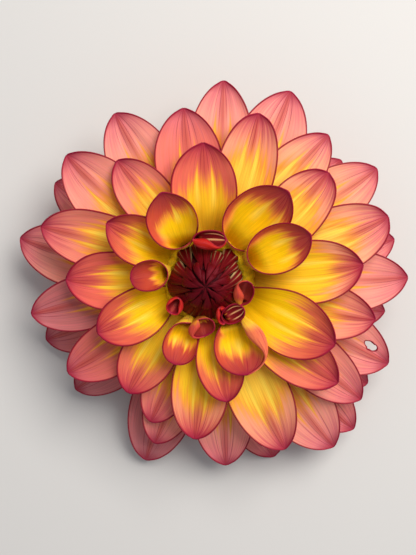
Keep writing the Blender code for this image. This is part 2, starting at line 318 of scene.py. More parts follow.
@dataclass
class BladeSheet:
    """Sheet of a blade as rows and columns of points in the head's frame."""

    points: Array
    along: Array
    across: Array

    def faces(self) -> list[Face]:
        """Four-sided faces between the points, wound to face up.

        Returns:
            Each face by the numbers of its points.
        """
        rows, columns = self.along.shape
        starts = (row * columns + column for row in range(rows - 1) for column in range(columns - 1))
        return [(i, i + 1, i + columns + 1, i + columns) for i in starts]

    def tree(self) -> BVHTree:
        """Search tree of the sheet's faces."""
        return BVHTree.FromPolygons(self.points.reshape(-1, 3).tolist(), self.faces())

    def edge_distance(self) -> Array:
        """Distance in metres of every point from the blade's outline.

        Returns:
            Distances, by row and column.
        """
        outline = np.concatenate((self.points[:, 0], self.points[-1], self.points[::-1, -1]))
        start, step = outline[:-1], np.diff(outline, axis=0)
        long = np.maximum(np.sum(step * step, axis=1), 1e-12)
        flat = self.points.reshape(-1, 1, 3)
        share = np.clip(np.sum((flat - start) * step, axis=2) / long, 0, 1)
        gaps = np.linalg.norm(flat - start - share[..., None] * step, axis=2)
        return gaps.min(axis=1).reshape(self.along.shape)

    def lower_under(self, upper: list[BVHTree], clearance: float, reach: float, least: float = 0.12) -> None:
        """Press the sheet down where it would rise through a younger one.

        Args:
            upper: Search trees of the younger sheets.
            clearance: Least height between the sheets.
            reach: How deep below this sheet a younger one is looked for.
            least: Share of the length from which the sheet is pressed.
        """
        down = Vector((0, 0, -1))
        press = np.zeros(self.along.shape)
        for place in zip(*np.nonzero(self.along >= least)):
            point = Vector(self.points[place])
            start = point + Vector((0, 0, clearance))
            for tree in upper:
                found = tree.ray_cast(start, down, reach + clearance)[0]
                if found is not None:
                    press[place] = max(press[place], point.z - found.z + clearance)
        if press.max() > 0:
            self.points[..., 2] -= softened(press)


def softened(press: Array) -> Array:
    """Spread a pressed patch over its neighbours, so that the sheet stays smooth.

    Args:
        press: How far each point is pressed down, by row and column.

    Returns:
        Depths that are nowhere much less than the ones given, and have no steps.
    """
    spread = press
    for widen in (*(True,) * WIDENINGS, *(False,) * SMOOTHINGS):
        edged = np.pad(spread, 1, mode="edge")
        near = edged[1:-1, :-2], edged[1:-1, 2:], edged[:-2, 1:-1], edged[2:, 1:-1]
        spread = np.max([*near, spread], axis=0) if widen else (spread * 2 + sum(near)) / 6
    return np.maximum(spread, press * KEPT_PRESS)


@dataclass(frozen=True)
class Blade:
    """One petal or bract: its midrib, its full width and its form."""

    rib: Rib
    width: float
    form: BladeForm
    seed: int

    def sheet(self, rows: int, columns: int) -> BladeSheet:
        """Lay the blade out as a sheet of points.

        Args:
            rows: Number of steps from the root to the tip.
            columns: Even number of steps from margin to margin.

        Returns:
            The sheet.
        """
        t = LAST_ROW * (1 - (1 - np.linspace(0, 1, rows + 1)) ** ROW_CROWDING)
        even = np.linspace(-1, 1, columns + 1)
        v = even * (1 + COLUMN_CROWDING - COLUMN_CROWDING * even * even)
        turns = self.form.turns(t, v)
        between = (turns[:, 1:] + turns[:, :-1]) / 2
        steps = np.cos(between) * np.diff(v), np.sin(between) * np.diff(v)
        x, y = (np.pad(np.cumsum(step, axis=1), ((0, 0), (1, 0))) for step in steps)
        middle = slice(columns // 2, columns // 2 + 1)
        x, y = x - x[:, middle], y - y[:, middle]
        half = (self.width * self.form.share(t) / 2)[:, None]
        left, right = -x.min(axis=1, keepdims=True), x.max(axis=1, keepdims=True)
        scale = np.where(v < 0, half / left, half / right)
        relief = self.form.relief(t, v, self.seed)
        x = x * scale - np.sin(turns) * relief
        y = y * scale + np.cos(turns) * relief
        side, up = self.rib.axes(t)
        points = self.rib.places(t)[:, None] + side[:, None] * x[..., None] + up[:, None] * y[..., None]
        across, along = np.meshgrid(v, t)
        return BladeSheet(points, along, across)


@dataclass(frozen=True)
class Bite:
    """Ragged oval hole eaten into a petal: its place on the blade, its half axes in metres, its azimuth."""

    piece: str
    along: float
    across: float
    long: float
    wide: float
    azimuth: float
    snap: float = 0.19 * MM
    jags: Span = (0.08, 0.05)

    def rim(self, sheet: BladeSheet) -> tuple[Array, Array, Array]:
        """Where a sheet's points lie from the hole.

        Args:
            sheet: The petal's sheet.

        Returns:
            The way from the hole's middle to every point, its length, and the rim's radius there.
        """
        gaps = np.abs(sheet.along - self.along) * 3 + np.abs(sheet.across - self.across)
        offset = sheet.points - sheet.points[np.unravel_index(gaps.argmin(), gaps.shape)]
        turn = np.arctan2(offset[..., 1], offset[..., 0])
        narrow = (self.long / self.wide) ** 2 - 1
        oval = self.long / np.sqrt(1 + narrow * np.sin(turn - math.radians(self.azimuth)) ** 2)
        ragged = 1 + self.jags[0] * np.cos(3 * turn + 0.6) + self.jags[1] * np.cos(5 * turn)
        return offset, np.linalg.norm(offset, axis=-1), oval * ragged

    def trim(self, sheet: BladeSheet) -> Array:
        """Draw the points near the rim to it.

        Args:
            sheet: The petal's sheet, whose points move.

        Returns:
            Which points lie inside the hole.
        """
        offset, long, rim = self.rim(sheet)
        stretch = np.where(np.abs(long - rim) < self.snap, rim / np.maximum(long, 1e-9), 1.0)
        sheet.points += offset * (stretch - 1)[..., None]
        return (long <= rim - self.snap).ravel()


BITE = Bite("petal_6_2", 0.855, -0.34, 2.4 * MM, 1.15 * MM, -41)


@dataclass
class Leaf:
    """A sheet that is ready to become part of a piece, with its seed, its age and its warmth."""

    sheet: BladeSheet
    seed: int
    age: float
    warmth: float = 0.0
    bite: Bite | None = None

    def faces(self) -> list[Face]:
        """The sheet's faces, less the parts inside the bite.

        Returns:
            Each face by the numbers of its points.
        """
        faces = self.sheet.faces()
        if self.bite is None:
            return faces
        inside = self.bite.trim(self.sheet)
        kept = (tuple(corner for corner in face if not inside[corner]) for face in faces)
        return [face for face in kept if len(face) > 2]

    def edge(self) -> Array:
        """Distance in millimetres of every point from the sheet's outline and its bite.

        Returns:
            Distances, by row and column.
        """
        edge = self.sheet.edge_distance()
        if self.bite is not None:
            _, long, rim = self.bite.rim(self.sheet)
            edge = np.minimum(edge, np.clip(long - rim, 0, None))
        return edge / MM


def placed(data: bpy.types.ID) -> Piece:
    """Put a mesh, a lamp or a camera in the scene, under its own name.

    Args:
        data: The mesh, lamp or camera.

    Returns:
        Its object.
    """
    piece = bpy.data.objects.new(data.name, data)
    bpy.context.scene.collection.objects.link(piece)
    return piece


def new_piece(mesh: Mesh, *finishes: Material) -> Piece:
    """Put a mesh in the scene with its materials.

    Args:
        mesh: The mesh.
        finishes: Its materials, in the order of its slots.

    Returns:
        The piece.
    """
    for finish in finishes:
        mesh.materials.append(finish)
    return placed(mesh)


class MeshStock:
    """Points and faces of several forms that end up in one piece, with what their material reads."""

    def __init__(self) -> None:
        """Start empty."""
        self.points: list[Array] = []
        self.faces: list[Face] = []
        self.stored: dict[str, list[Array]] = {"blade_place": [], "blade_tone": []}
        self.count = 0

    def add(self, points: Array, faces: list[Face], *numbers: Numbers) -> None:
        """Add a form.

        Args:
            points: Its points in the head's frame.
            faces: Its faces, by the numbers of its points.
            numbers: The three numbers of its place and of its tone, for each point or for all.
        """
        size = points.size // 3
        self.faces.extend(tuple(self.count + corner for corner in face) for face in faces)
        self.points.append(points.reshape(-1, 3))
        for rows, columns in zip(self.stored.values(), numbers):
            rows.append(np.stack([np.broadcast_to(np.ravel(column), size) for column in columns], axis=1))
        self.count += size

    def add_tube(self, points: Array, *numbers: Numbers) -> None:
        """Add a closed tube.

        Args:
            points: Its points, by ring and spoke.
            numbers: The three numbers of its place and of its tone, for each point or for all.
        """
        rings, spokes = points.shape[:2]
        last = (rings - 1) * spokes
        pairs = [(spoke, (spoke + 1) % spokes) for spoke in range(spokes)]
        faces = [
            (base + near, base + far, base + far + spokes, base + near + spokes)
            for base in range(0, last, spokes) for near, far in pairs
        ]
        ends = tuple(range(spokes))[::-1], tuple(range(last, last + spokes))
        self.add(points, [*faces, *ends], *numbers)

    def mesh(self, name: str) -> Mesh:
        """Mesh of all that was added, in the object's frame.

        Args:
            name: Its name.

        Returns:
            The mesh, with its numbers stored by point.
        """
        mesh = bpy.data.meshes.new(name)
        mesh.from_pydata(np.concatenate(self.points).tolist(), [], self.faces)
        for label, rows in self.stored.items():
            layer = mesh.attributes.new(label, "FLOAT_VECTOR", "POINT")
            layer.data.foreach_set("vector", np.ascontiguousarray(np.concatenate(rows), np.float32).ravel())
        mesh.transform(HEAD.matrix())
        mesh.shade_smooth()
        return mesh

    def closed_piece(self, name: str, finish: Material) -> Piece:
        """Piece of the closed forms that were added, with their faces turned outwards.

        Args:
            name: Its name.
            finish: Its material.

        Returns:
            The piece.
        """
        mesh = self.mesh(name)
        outwards = bmesh.new()
        outwards.from_mesh(mesh)
        bmesh.ops.recalc_face_normals(outwards, faces=outwards.faces)
        outwards.to_mesh(mesh)
        outwards.free()
        return new_piece(mesh, finish)


# Seeds that materials read start over after this many
SEED_CYCLE = 97


def blade_piece(name: str, leaves: list[Leaf], thickness: float, finishes: Faces) -> Piece:
    """Make one piece of one or several blades.

    Args:
        name: Name of the piece.
        leaves: The blades' sheets.
        thickness: Thickness of the blades.
        finishes: Materials of their upper faces and their reverses.

    Returns:
        The piece.
    """
    stock = MeshStock()
    for leaf in leaves:
        faces, sheet = leaf.faces(), leaf.sheet
        place = sheet.along, sheet.across, leaf.seed % SEED_CYCLE
        stock.add(sheet.points, faces, place, (leaf.edge(), leaf.age, leaf.warmth))
    piece = new_piece(stock.mesh(name), *finishes)
    shell = piece.modifiers.new("thickness", "SOLIDIFY")
    shell.thickness = thickness
    shell.offset = 0
    shell.material_offset = 1
    return piece


def turned(name: str, profile: Profile, steps: int, finish: Material) -> Piece:
    """Turn a profile round the head's axis.

    Args:
        name: Name of the piece.
        profile: Radii and heights in millimetres, down the outer side.
        steps: Number of steps round the axis.
        finish: Its material.

    Returns:
        The piece.
    """
    mesh = bpy.data.meshes.new(name)
    points = [(radius * MM, 0, height * MM) for radius, height in profile]
    mesh.from_pydata(points, [(i, i + 1) for i in range(len(points) - 1)], [])
    piece = new_piece(mesh, finish)
    screw = piece.modifiers.new("turn", "SCREW")
    screw.steps = screw.render_steps = steps
    screw.use_merge_vertices = True
    screw.merge_threshold = 0.01 * MM
    piece.matrix_world = HEAD.matrix()
    return piece


def settle(piece: Piece, solid: Solid) -> None:
    """Let a piece ride on the flower and stand for one of its solids.

    Args:
        piece: The piece.
        solid: The solid that it stands for.
    """
    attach(piece, "root")
    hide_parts(solid.value)
    log.info("%s stands for %s", piece.name, solid.value)


# Finishes


@dataclass(frozen=True)
class Signal:
    """What a node gives. Sums with other signals and numbers place the nodes that work them out."""

    sketch: "Sketch"
    socket: bpy.types.NodeSocket

    def maths(self, operation: str, *others: "Feed") -> "Signal":
        """Result of a sum."""
        return self.sketch.node("ShaderNodeMath", (self, *others), operation=operation)[0]

    def __add__(self, other: "Feed") -> "Signal":
        """Sum."""
        return self.maths("ADD", other)

    def __sub__(self, other: "Feed") -> "Signal":
        """Difference."""
        return self.maths("SUBTRACT", other)

    def __mul__(self, other: "Feed") -> "Signal":
        """Product."""
        return self.maths("MULTIPLY", other)

    def __abs__(self) -> "Signal":
        """Size without the sign."""
        return self.maths("ABSOLUTE")

    __radd__ = __add__
    __rmul__ = __mul__

    def at_least(self, other: "Feed") -> "Signal":
        """The greater of two."""
        return self.maths("MAXIMUM", other)

    def waves(self, count: float) -> "Signal":
        """Cosine wave, with a number of waves from 0 to 1."""
        return (self * (math.tau * count)).maths("COSINE")

    def rise(self, low: "Feed", high: "Feed", start: "Feed" = 0.0, end: "Feed" = 1.0) -> "Signal":
        """Smooth rise between two places, from start to end."""
        feeds = self, low, high, start, end
        return self.sketch.node("ShaderNodeMapRange", feeds, interpolation_type="SMOOTHSTEP")[0]

    def mix(self, first: "Feed", second: "Feed") -> "Signal":
        """Mix of two colours, with this as the second one's share."""
        return self.sketch.blend(self, first, second, "MIX")

    def dimmed(self, shade: "Signal") -> "Signal":
        """This colour made darker or lighter by a number."""
        return self.sketch.blend(1.0, self, self.sketch.join(shade, shade, shade), "MULTIPLY")

    def split(self) -> "list[Signal]":
        """The three numbers of a vector."""
        return self.sketch.node("ShaderNodeSeparateXYZ", (self,))


Feed = Signal | float | tuple[float, ...]
Feeds = dict[str | int, Feed] | tuple[Feed, ...]

# Places of the sockets for colours on Blender's mix node, and of the place on the object
MIX_INPUTS, MIX_RESULT = (0, 6, 7), 2
OBJECT_PLACE = 3


def opaque(feed: Feed) -> Feed:
    """A colour with its alpha, or the signal as it is."""
    return (*feed, 1.0) if isinstance(feed, tuple) else feed


class Sketch:
    """Places nodes in one tree and joins them."""

    def __init__(self, tree: NodeTree) -> None:
        """Start on a tree."""
        self.tree = tree

    def feed(self, node: bpy.types.Node, feeds: dict[str | int, Feed]) -> None:
        """Feed a node's inputs: signals are joined to them, and values set on them.

        Args:
            node: The node.
            feeds: What goes into its inputs, by name or number.
        """
        for place, feed in feeds.items():
            if isinstance(feed, Signal):
                self.tree.links.new(feed.socket, node.inputs[place])
            else:
                node.inputs[place].default_value = feed

    def node(self, kind: str, feeds: Feeds, **settings: object) -> list[Signal]:
        """Place a node.

        Args:
            kind: Blender's name of the node type.
            feeds: What goes into its inputs, by name or number or in order.
            settings: Its properties.

        Returns:
            What it gives.
        """
        made = self.tree.nodes.new(kind)
        for name, value in settings.items():
            setattr(made, name, value)
        self.feed(made, feeds if isinstance(feeds, dict) else dict(enumerate(feeds)))
        return [Signal(self, output) for output in made.outputs]

    def blend(self, share: Feed, first: Feed, second: Feed, mode: str) -> Signal:
        """Two colours blended by one of Blender's modes."""
        feeds = dict(zip(MIX_INPUTS, (share, opaque(first), opaque(second))))
        return self.node("ShaderNodeMix", feeds, data_type="RGBA", blend_type=mode)[MIX_RESULT]

    def join(self, *feeds: Feed) -> Signal:
        """Vector of three numbers."""
        return self.node("ShaderNodeCombineXYZ", feeds)[0]

    def noise(self, place: Feed, scale: float, detail: float, rough: float) -> Signal:
        """Noise from 0 to 1 at a place."""
        feeds = {"Vector": place, "Scale": scale, "Detail": detail, "Roughness": rough}
        return self.node("ShaderNodeTexNoise", feeds)[0]

    def stored(self, name: str) -> list[Signal]:
        """The three numbers that a mesh keeps under a name."""
        return self.node("ShaderNodeAttribute", (), attribute_name=name)[1].split()

    def group(self, tree: NodeTree, *feeds: Feed) -> list[Signal]:
        """What a node group gives for its feeds."""
        return self.node("ShaderNodeGroup", feeds, node_tree=tree)

    def blade(self, fibres: NodeTree) -> list[Signal]:
        """Read what a blade's mesh keeps, and its fibres.

        Args:
            fibres: The fibre group.

        Returns:
            The three numbers of its place and of its tone, and its streaks and threads.
        """
        place, tone = self.stored("blade_place"), self.stored("blade_tone")
        return [*place, *tone, *self.group(fibres, *place)]


class Paint(Sketch):
    """Sketch of one material, which ends in its Principled shader."""

    def __init__(self, name: str) -> None:
        """Start a material.

        Args:
            name: Its name.
        """
        self.material = bpy.data.materials.new(name)
        self.material.use_nodes = True
        super().__init__(self.material.node_tree)

    def dress(self, feeds: dict[str, Feed], height: Signal, strength: float, depth: float) -> Material:
        """Feed the shader, and give it a relief.

        Args:
            feeds: What goes into its inputs, by name.
            height: The relief's height, from 0 to 1.
            strength: How much of the relief is seen.
            depth: How deep it is, in metres.

        Returns:
            The material.
        """
        relief = self.node("ShaderNodeBump", {"Strength": strength, "Distance": depth, "Height": height})
        self.feed(self.tree.nodes["Principled BSDF"], {**feeds, "Normal": relief[0]})
        return self.material


def new_group(
    name: str, takes: tuple[str, ...], gives: tuple[str, ...],
) -> tuple[Sketch, list[Signal], bpy.types.Node]:
    """Start a node group whose sockets are all numbers.

    Args:
        name: Name of the group.
        takes: Names of the numbers that it takes.
        gives: Names of the numbers that it gives.

    Returns:
        The sketch of its tree, the numbers that it takes, and its output node.
    """
    sketch = Sketch(bpy.data.node_groups.new(name, "ShaderNodeTree"))
    for way, labels in (("INPUT", takes), ("OUTPUT", gives)):
        for label in labels:
            sketch.tree.interface.new_socket(name=label, in_out=way, socket_type="NodeSocketFloat")
    taken = sketch.node("NodeGroupInput", ())[:len(takes)]
    return sketch, taken, sketch.tree.nodes.new("NodeGroupOutput")


def fibre_group() -> NodeTree:
    """Node group of the fibres that run along a blade: coarse Streaks and fine Threads.

    Returns:
        Node group that gives the values Streaks and Threads.
    """
    sketch, taken, given = new_group("blade_fibres", ("Along", "Across", "Seed"), ("Streaks", "Threads"))
    along, across, seed = taken
    shift = 7.31 * seed
    streaks = sketch.noise(sketch.join(11.0 * across, 1.1 * along, shift), 1.0, 2.0, 0.55)
    threads = sketch.noise(sketch.join(34.0 * across, 2.2 * along, shift), 1.0, 2.5, 0.6)
    sketch.feed(given, {"Streaks": streaks, "Threads": threads})
    return sketch.tree


# Painted shade in the tip's creases, as places across and widths; how far fibres pull a petal's colours
# along
TIP_CREASE_SHADE = ((0.0, 0.022), (0.13, 0.026), (0.34, 0.022))
STREAK_PULL, THREAD_PULL = 0.34, 0.16


def flame_group() -> NodeTree:
    """Node group of a petal's flame, where yellow turns red: late at the midrib, early at the margins.

    Returns:
        Node group that gives the masks Red, Keel, Flare, and the painted shade in the tip's creases.
    """
    takes = "Along", "Across", "Streaks", "Threads", "Reach", "Seed"
    sketch, taken, given = new_group("petal_flame", takes, ("Red", "Keel", "Flare", "CreaseShade"))
    along, across, streaks, threads, reach, seed = taken
    chance = sketch.node("ShaderNodeTexWhiteNoise", {"W": seed}, noise_dimensions="1D")[1]
    first, second, third = chance.split()
    out = abs(across + 0.07 * (first - 0.5))
    flare = abs(out - (0.21 + 0.06 * second)).rise(0.0, along.rise(0.40, 0.86, 0.15, 0.05), 1.0, 0.0)
    weaker = abs(out - (0.46 + 0.08 * third)).rise(0.0, 0.10, 0.5, 0.0)
    start = reach - 0.09 * out.rise(0.26, 0.66) - 0.08 * out * out + 0.14 * flare.at_least(weaker)
    start = start + STREAK_PULL * (streaks - 0.5) + THREAD_PULL * (threads - 0.5)
    keel = out.rise(0.02, along.rise(0.5, 0.9, 0.12, 0.22), 1.0, 0.0) * along.rise(reach - 0.14, 0.84)
    crease_shade, *others = (abs(out - place).rise(0.0, width, 1.0, 0.0) for place, width in TIP_CREASE_SHADE)
    for other in others:
        crease_shade = crease_shade.at_least(other)
    crease_shade = crease_shade * along.rise(0.62, 0.97)
    red = along.rise(start - 0.24, start + 0.28)
    sketch.feed(given, {"Red": red, "Keel": keel, "Flare": flare, "CreaseShade": crease_shade})
    return sketch.tree


# What lets light through a petal and gives it a soft sheen
SOFT_PETAL = {
    "Subsurface Weight": 0.25,
    "Subsurface Radius": (1.0, 0.5, 0.25),
    "Subsurface Scale": 0.6 * MM,
    "Specular IOR Level": 0.14,
    "Specular Tint": (1.0, 0.75, 0.45, 1.0),
}


@dataclass(frozen=True)
class PetalFinish:
    """Finish of a ray petal's upper face: gold, turning amber and coral, with a crimson margin.

    The lobes and tips are given for petals of the given ages. The margin's width is in millimetres.
    Sunny and flush are the lobes of warm and cold petals; painted shade dulls old ones of low warmth.
    """

    ages: tuple[float, ...] = (-0.3, 0.0, 0.125, 0.30, 0.64)
    lobes: tuple[Colour, ...] = (
        (0.20, 0.006, 0.010), (0.58, 0.080, 0.038), (0.66, 0.125, 0.056), (0.76, 0.180, 0.108),
        (0.89, 0.335, 0.260),
    )
    tips: tuple[Colour, ...] = (
        (0.17, 0.004, 0.010), (0.40, 0.042, 0.044), (0.46, 0.048, 0.052), (0.52, 0.060, 0.078),
        (0.67, 0.165, 0.190),
    )
    root_shade_gold: Colour = (0.56, 0.32, 0.002)
    gold: Colour = (0.90, 0.53, 0.003)
    old_gold: Colour = (0.90, 0.56, 0.105)
    pale_gold: Colour = (0.97, 0.67, 0.085)
    amber: Colour = (0.90, 0.36, 0.035)
    brick: Colour = (0.46, 0.065, 0.050)
    painted_shade: Colour = (0.50, 0.170, 0.185)
    sunny: Colour = (0.93, 0.42, 0.22)
    flush: Colour = (0.72, 0.105, 0.082)
    spot: Colour = (0.30, 0.010, 0.045)
    speck: Colour = (0.10, 0.020, 0.008)
    crimson: Colour = (0.25, 0.005, 0.026)
    cream: Colour = (0.86, 0.46, 0.20)
    margin: float = 0.36

    def make(self, fibres: NodeTree, flame: NodeTree) -> Material:
        """Build the material.

        Args:
            fibres: The fibre group.
            flame: The flame group.

        Returns:
            The material.
        """
        paint = Paint("petal_face")
        along, across, seed, edge, age, warmth, streaks, threads = paint.blade(fibres)
        reach = age.rise(0.0, 1.0, 0.74, 0.60) + warmth
        red, keel, flare, crease_shade = paint.group(flame, along, across, streaks, threads, reach, seed)
        young = age.rise(0.0, 0.1, 1.0, 0.0) * along.rise(0.0, 0.35, 0.5, 1.0)
        wall = young * (0.11 * edge + abs(across)).rise(0.80, 1.0, 0.15, 1.0) * edge.rise(1.0, 4.8, 1.0, 0.0)
        red = red.at_least(wall)
        tip = self.by_age(age, self.tips)
        lobe = warmth.rise(0.02, 0.12, 0.0, 0.8).mix(self.by_age(age, self.lobes), self.sunny)
        lobe = (warmth.rise(-0.05, 0.0, 0.6, 0.0) * age.rise(0.05, 0.15)).mix(lobe, self.flush)
        # Darker gold towards the root is painted shade deep in the flower.
        colour = along.rise(0.14, 0.46).mix(self.root_shade_gold, self.gold)
        colour = age.rise(0.15, 0.7).mix(colour, self.old_gold)
        colour = (flare * along.rise(0.35, 0.55, 0.0, 0.75)).mix(colour, self.pale_gold)
        colour = red.rise(0.0, 0.42).mix(colour, self.amber)
        colour = red.rise(0.26, 0.80).mix(colour, lobe)
        ends = along + STREAK_PULL * (streaks - 0.5)
        colour = ends.rise(age.rise(0.0, 0.12, 0.60, 0.74), 0.98).mix(colour, tip)
        # Painted shade: old petals of low warmth are dulled to mauve over their red parts.
        painted_shade_share = warmth.rise(-0.1, -0.05, 0.75, 0.0) * age.rise(0.3, 0.5) * red.rise(0.2, 0.8)
        colour = painted_shade_share.mix(colour, self.painted_shade)
        colour = (keel * threads.rise(0.30, 0.62, 0.35, 0.85)).mix(colour, self.brick)
        colour = (threads.rise(0.50, 0.68, 0.0, 0.42) * red.rise(0.1, 0.7)).mix(colour, tip)
        colour = colour.dimmed(threads.rise(0.3, 0.7, 0.88, 1.07))
        # Crimson in the tip's creases is painted shade of the folds.
        colour = (crease_shade * streaks.rise(0.3, 0.6, 0.3, 0.95)).mix(colour, self.crimson)
        stripes = across.waves(2.2).rise(0.62, 0.92) * along.rise(0.25, 0.6)
        striped = age.rise(-0.28, -0.22, 1.0, 0.0) * warmth.rise(-0.9, -0.7)
        colour = (stripes * striped).mix(colour, self.cream)
        colour = edge.rise(self.margin * 0.6, self.margin * 1.5, 0.95, 0.0).mix(colour, self.crimson)
        tipped = along + 0.12 * (threads - 0.5)
        colour = tipped.rise(0.91, 1.0, 0.0, 0.85).mix(colour, self.spot)
        spread = paint.join(0.75 * across, 3.8 * along, 3.7 * seed)
        cells = paint.node("ShaderNodeTexVoronoi", {"Vector": spread, "Scale": 1.0})
        specks = cells[0].rise(0.018, 0.034, 0.85, 0.0) * cells[1].split()[0].rise(0.84, 0.86)
        colour = specks.mix(colour, self.speck)
        feeds = {"Base Color": colour, "Roughness": streaks.rise(0.3, 0.7, 0.42, 0.56), **SOFT_PETAL}
        return paint.dress(feeds, threads, 0.5, 0.06 * MM)

    def by_age(self, age: Signal, colours: tuple[Colour, ...]) -> Signal:
        """Colour that changes with a petal's age.

        Args:
            age: The petal's age.
            colours: The colours at the finish's ages.

        Returns:
            The colour.
        """
        first = self.ages[0]
        share = age.sketch.node("ShaderNodeMapRange", (age, first, 1.0, 0.0, 1.0))[0]
        blended = age.sketch.node("ShaderNodeValToRGB", (share,))[0]
        stops = blended.socket.node.color_ramp.elements
        stops[0].color = opaque(colours[0])
        stops.remove(stops[1])
        for stop_age, colour in zip(self.ages[1:], colours[1:]):
            stops.new((stop_age - first) / (1 - first)).color = opaque(colour)
        return blended


@dataclass(frozen=True)
class ReverseFinish:
    """Finish of a ray petal's reverse: paler, with crimson ribs. The margin's width is in millimetres."""

    base: Colour = (0.90, 0.58, 0.03)
    blush: Colour = (0.80, 0.24, 0.20)
    young: Colour = (0.76, 0.175, 0.075)
    curled: Colour = (0.44, 0.012, 0.008)
    rib: Colour = (0.45, 0.035, 0.055)
    margin: float = 0.36

    def make(self, fibres: NodeTree) -> Material:
        """Build the material.

        Args:
            fibres: The fibre group.

        Returns:
            The material.
        """
        paint = Paint("petal_reverse")
        along, across, _, edge, age, _, streaks, threads = paint.blade(fibres)
        colour = (along + streaks).rise(0.7, 1.3).mix(self.base, self.blush)
        colour = age.rise(0.0, 0.14).mix(self.young, colour)
        colour = along.rise(0.06, 0.30).mix(self.base, colour)
        colour = age.rise(-0.28, -0.08).mix(self.curled, colour)
        ribs = across.waves(3.5).rise(0.75, 1.0) * along.rise(0.3, 1.0, 0.1, 0.7)
        colour = ribs.at_least(threads.rise(0.46, 0.66, 0.0, 0.6)).mix(colour, self.rib)
        colour = edge.rise(self.margin * 0.55, self.margin * 1.5, 0.9, 0.0).mix(colour, self.rib)
        return paint.dress({"Base Color": colour, "Roughness": 0.5, **SOFT_PETAL}, threads, 0.5, 0.08 * MM)


@dataclass(frozen=True)
class FloretFinish:
    """Finish of the centre's closed florets: maroon, with cream stripes on a gold base, and painted shade on
    flanks and undersides.
    """

    maroon_and_shade: Colour = (0.050, 0.0008, 0.002)
    red: Colour = (0.58, 0.008, 0.012)
    plum: Colour = (0.230, 0.005, 0.018)
    cream: Colour = (1.0, 0.74, 0.34)
    gold: Colour = (0.55, 0.36, 0.02)
    sheen: Colour = (1.0, 0.25, 0.32)

    def make(self, fibres: NodeTree) -> Material:
        """Build the material.

        Args:
            fibres: The fibre group.

        Returns:
            The material.
        """
        paint = Paint("floret_hood")
        along, across, under = paint.stored("blade_place")
        pale, out, seed = paint.stored("blade_tone")
        streaks, threads = paint.group(fibres, along, across, seed)
        inward = abs(across)
        colour = (out.rise(0.35, 0.85) * along.rise(0.40, 0.80, 1.0, 0.25)).mix(self.plum, self.red)
        colour = streaks.rise(0.34, 0.62, 0.90, 0.0).mix(colour, self.maroon_and_shade)
        # Painted shade: maroon towards the flanks, in the gaps between the florets.
        colour = inward.rise(0.62, 1.0, 0.0, 0.8).mix(colour, self.maroon_and_shade)
        narrow = along.rise(0.25, 0.80, 0.16, 0.03)
        stripes = abs(inward - 0.42).rise(0.4 * narrow, narrow, 1.0, 0.0).at_least(inward.rise(0.86, 0.97))
        reach = along.rise(0.25 * pale + 0.20, 0.45 * pale + 0.45, 1.0, 0.0)
        colour = (stripes * reach * pale).mix(colour, self.cream)
        colour = along.rise(0.08, 0.26, 1.0, 0.0).mix(colour, self.gold)
        # Painted shade: maroon on the floret's underside.
        colour = (0.7 * under).mix(colour, self.maroon_and_shade)
        feeds = {"Base Color": colour, "Roughness": 0.45, "Specular IOR Level": 0.26}
        return paint.dress({**feeds, "Specular Tint": opaque(self.sheen)}, threads, 0.6, 0.07 * MM)


@dataclass(frozen=True)
class BractFinish:
    """Finish of a bract or the stalk: lengthwise veins on green or papery yellow-green."""

    name: str
    base: Colour
    vein: Colour
    rim: Colour
    roughness: float

    def make(self, fibres: NodeTree) -> Material:
        """Build the material.

        Args:
            fibres: The fibre group.

        Returns:
            The material.
        """
        paint = Paint(self.name)
        _, across, _, edge, *_, threads = paint.blade(fibres)
        colour = (across.waves(4.5).rise(0.6, 1.0) * 0.55).mix(self.base, self.vein)
        colour = threads.rise(0.35, 0.7, 0.0, 0.45).mix(colour, self.vein)
        colour = edge.rise(0.15, 0.7, 0.7, 0.0).mix(colour, self.rim)
        feeds = {"Base Color": colour, "Roughness": self.roughness, "Specular IOR Level": 0.3}
        return paint.dress(feeds, threads, 0.6, 0.08 * MM)


@dataclass(frozen=True)
class CoreFinish:
    """Finish of a core that florets grow from: mottled and slightly bumpy."""

    name: str
    base: Colour
    mottle: Colour
    relief: float

    def make(self) -> Material:
        """Build the material.

        Returns:
            The material.
        """
        paint = Paint(self.name)
        place = paint.node("ShaderNodeTexCoord", ())[OBJECT_PLACE]
        bumps = paint.noise(place, 900.0, 3.0, 0.6)
        colour = bumps.rise(0.4, 0.65).mix(self.base, self.mottle)
        feeds = {"Base Color": colour, "Roughness": 0.7, "Specular IOR Level": 0.1}
        return paint.dress(feeds, bumps, 0.7, self.relief)


PETAL_BED = CoreFinish("petal_bed", (0.82, 0.53, 0.007), (0.56, 0.38, 0.010), 0.06 * MM)
# Near-black core under the florets: painted shade for the gaps between them.
SHADED_FLORET_BED = CoreFinish("floret_bed_shade", (0.045, 0.002, 0.005), (0.10, 0.006, 0.010), 0.2 * MM)
LEAFY = BractFinish("leafy_green", (0.17, 0.30, 0.06), (0.10, 0.21, 0.04), (0.22, 0.16, 0.05), 0.5)
PAPERY = BractFinish("papery_bract", (0.56, 0.60, 0.22), (0.44, 0.47, 0.12), (0.62, 0.55, 0.30), 0.6)


# Pieces of the flower


@dataclass(frozen=True)
class Petal:
    """One opened petal: its tip's place seen from above, its width and the way it points.

    Warmth is how much further than its ring's its yellow runs, and cup and blunt are how much more
    cupped and less pointed it is.
    """

    azimuth: float
    reach: float
    width: float
    points_to: float
    warmth: float = 0.0
    cup: float = 0.0
    blunt: float = 0.0


def aged(age: float, values: Ages) -> float:
    """Value at an age from 0 to 1, on the parabola through the values at 0, 0.5 and 1.

    Args:
        age: The age.
        values: The values at the three ages.

    Returns:
        The value.
    """
    young, middle, old = values
    bend = 2 * (young + old - 2 * middle)
    return young + (old - young - bend) * age + bend * age * age


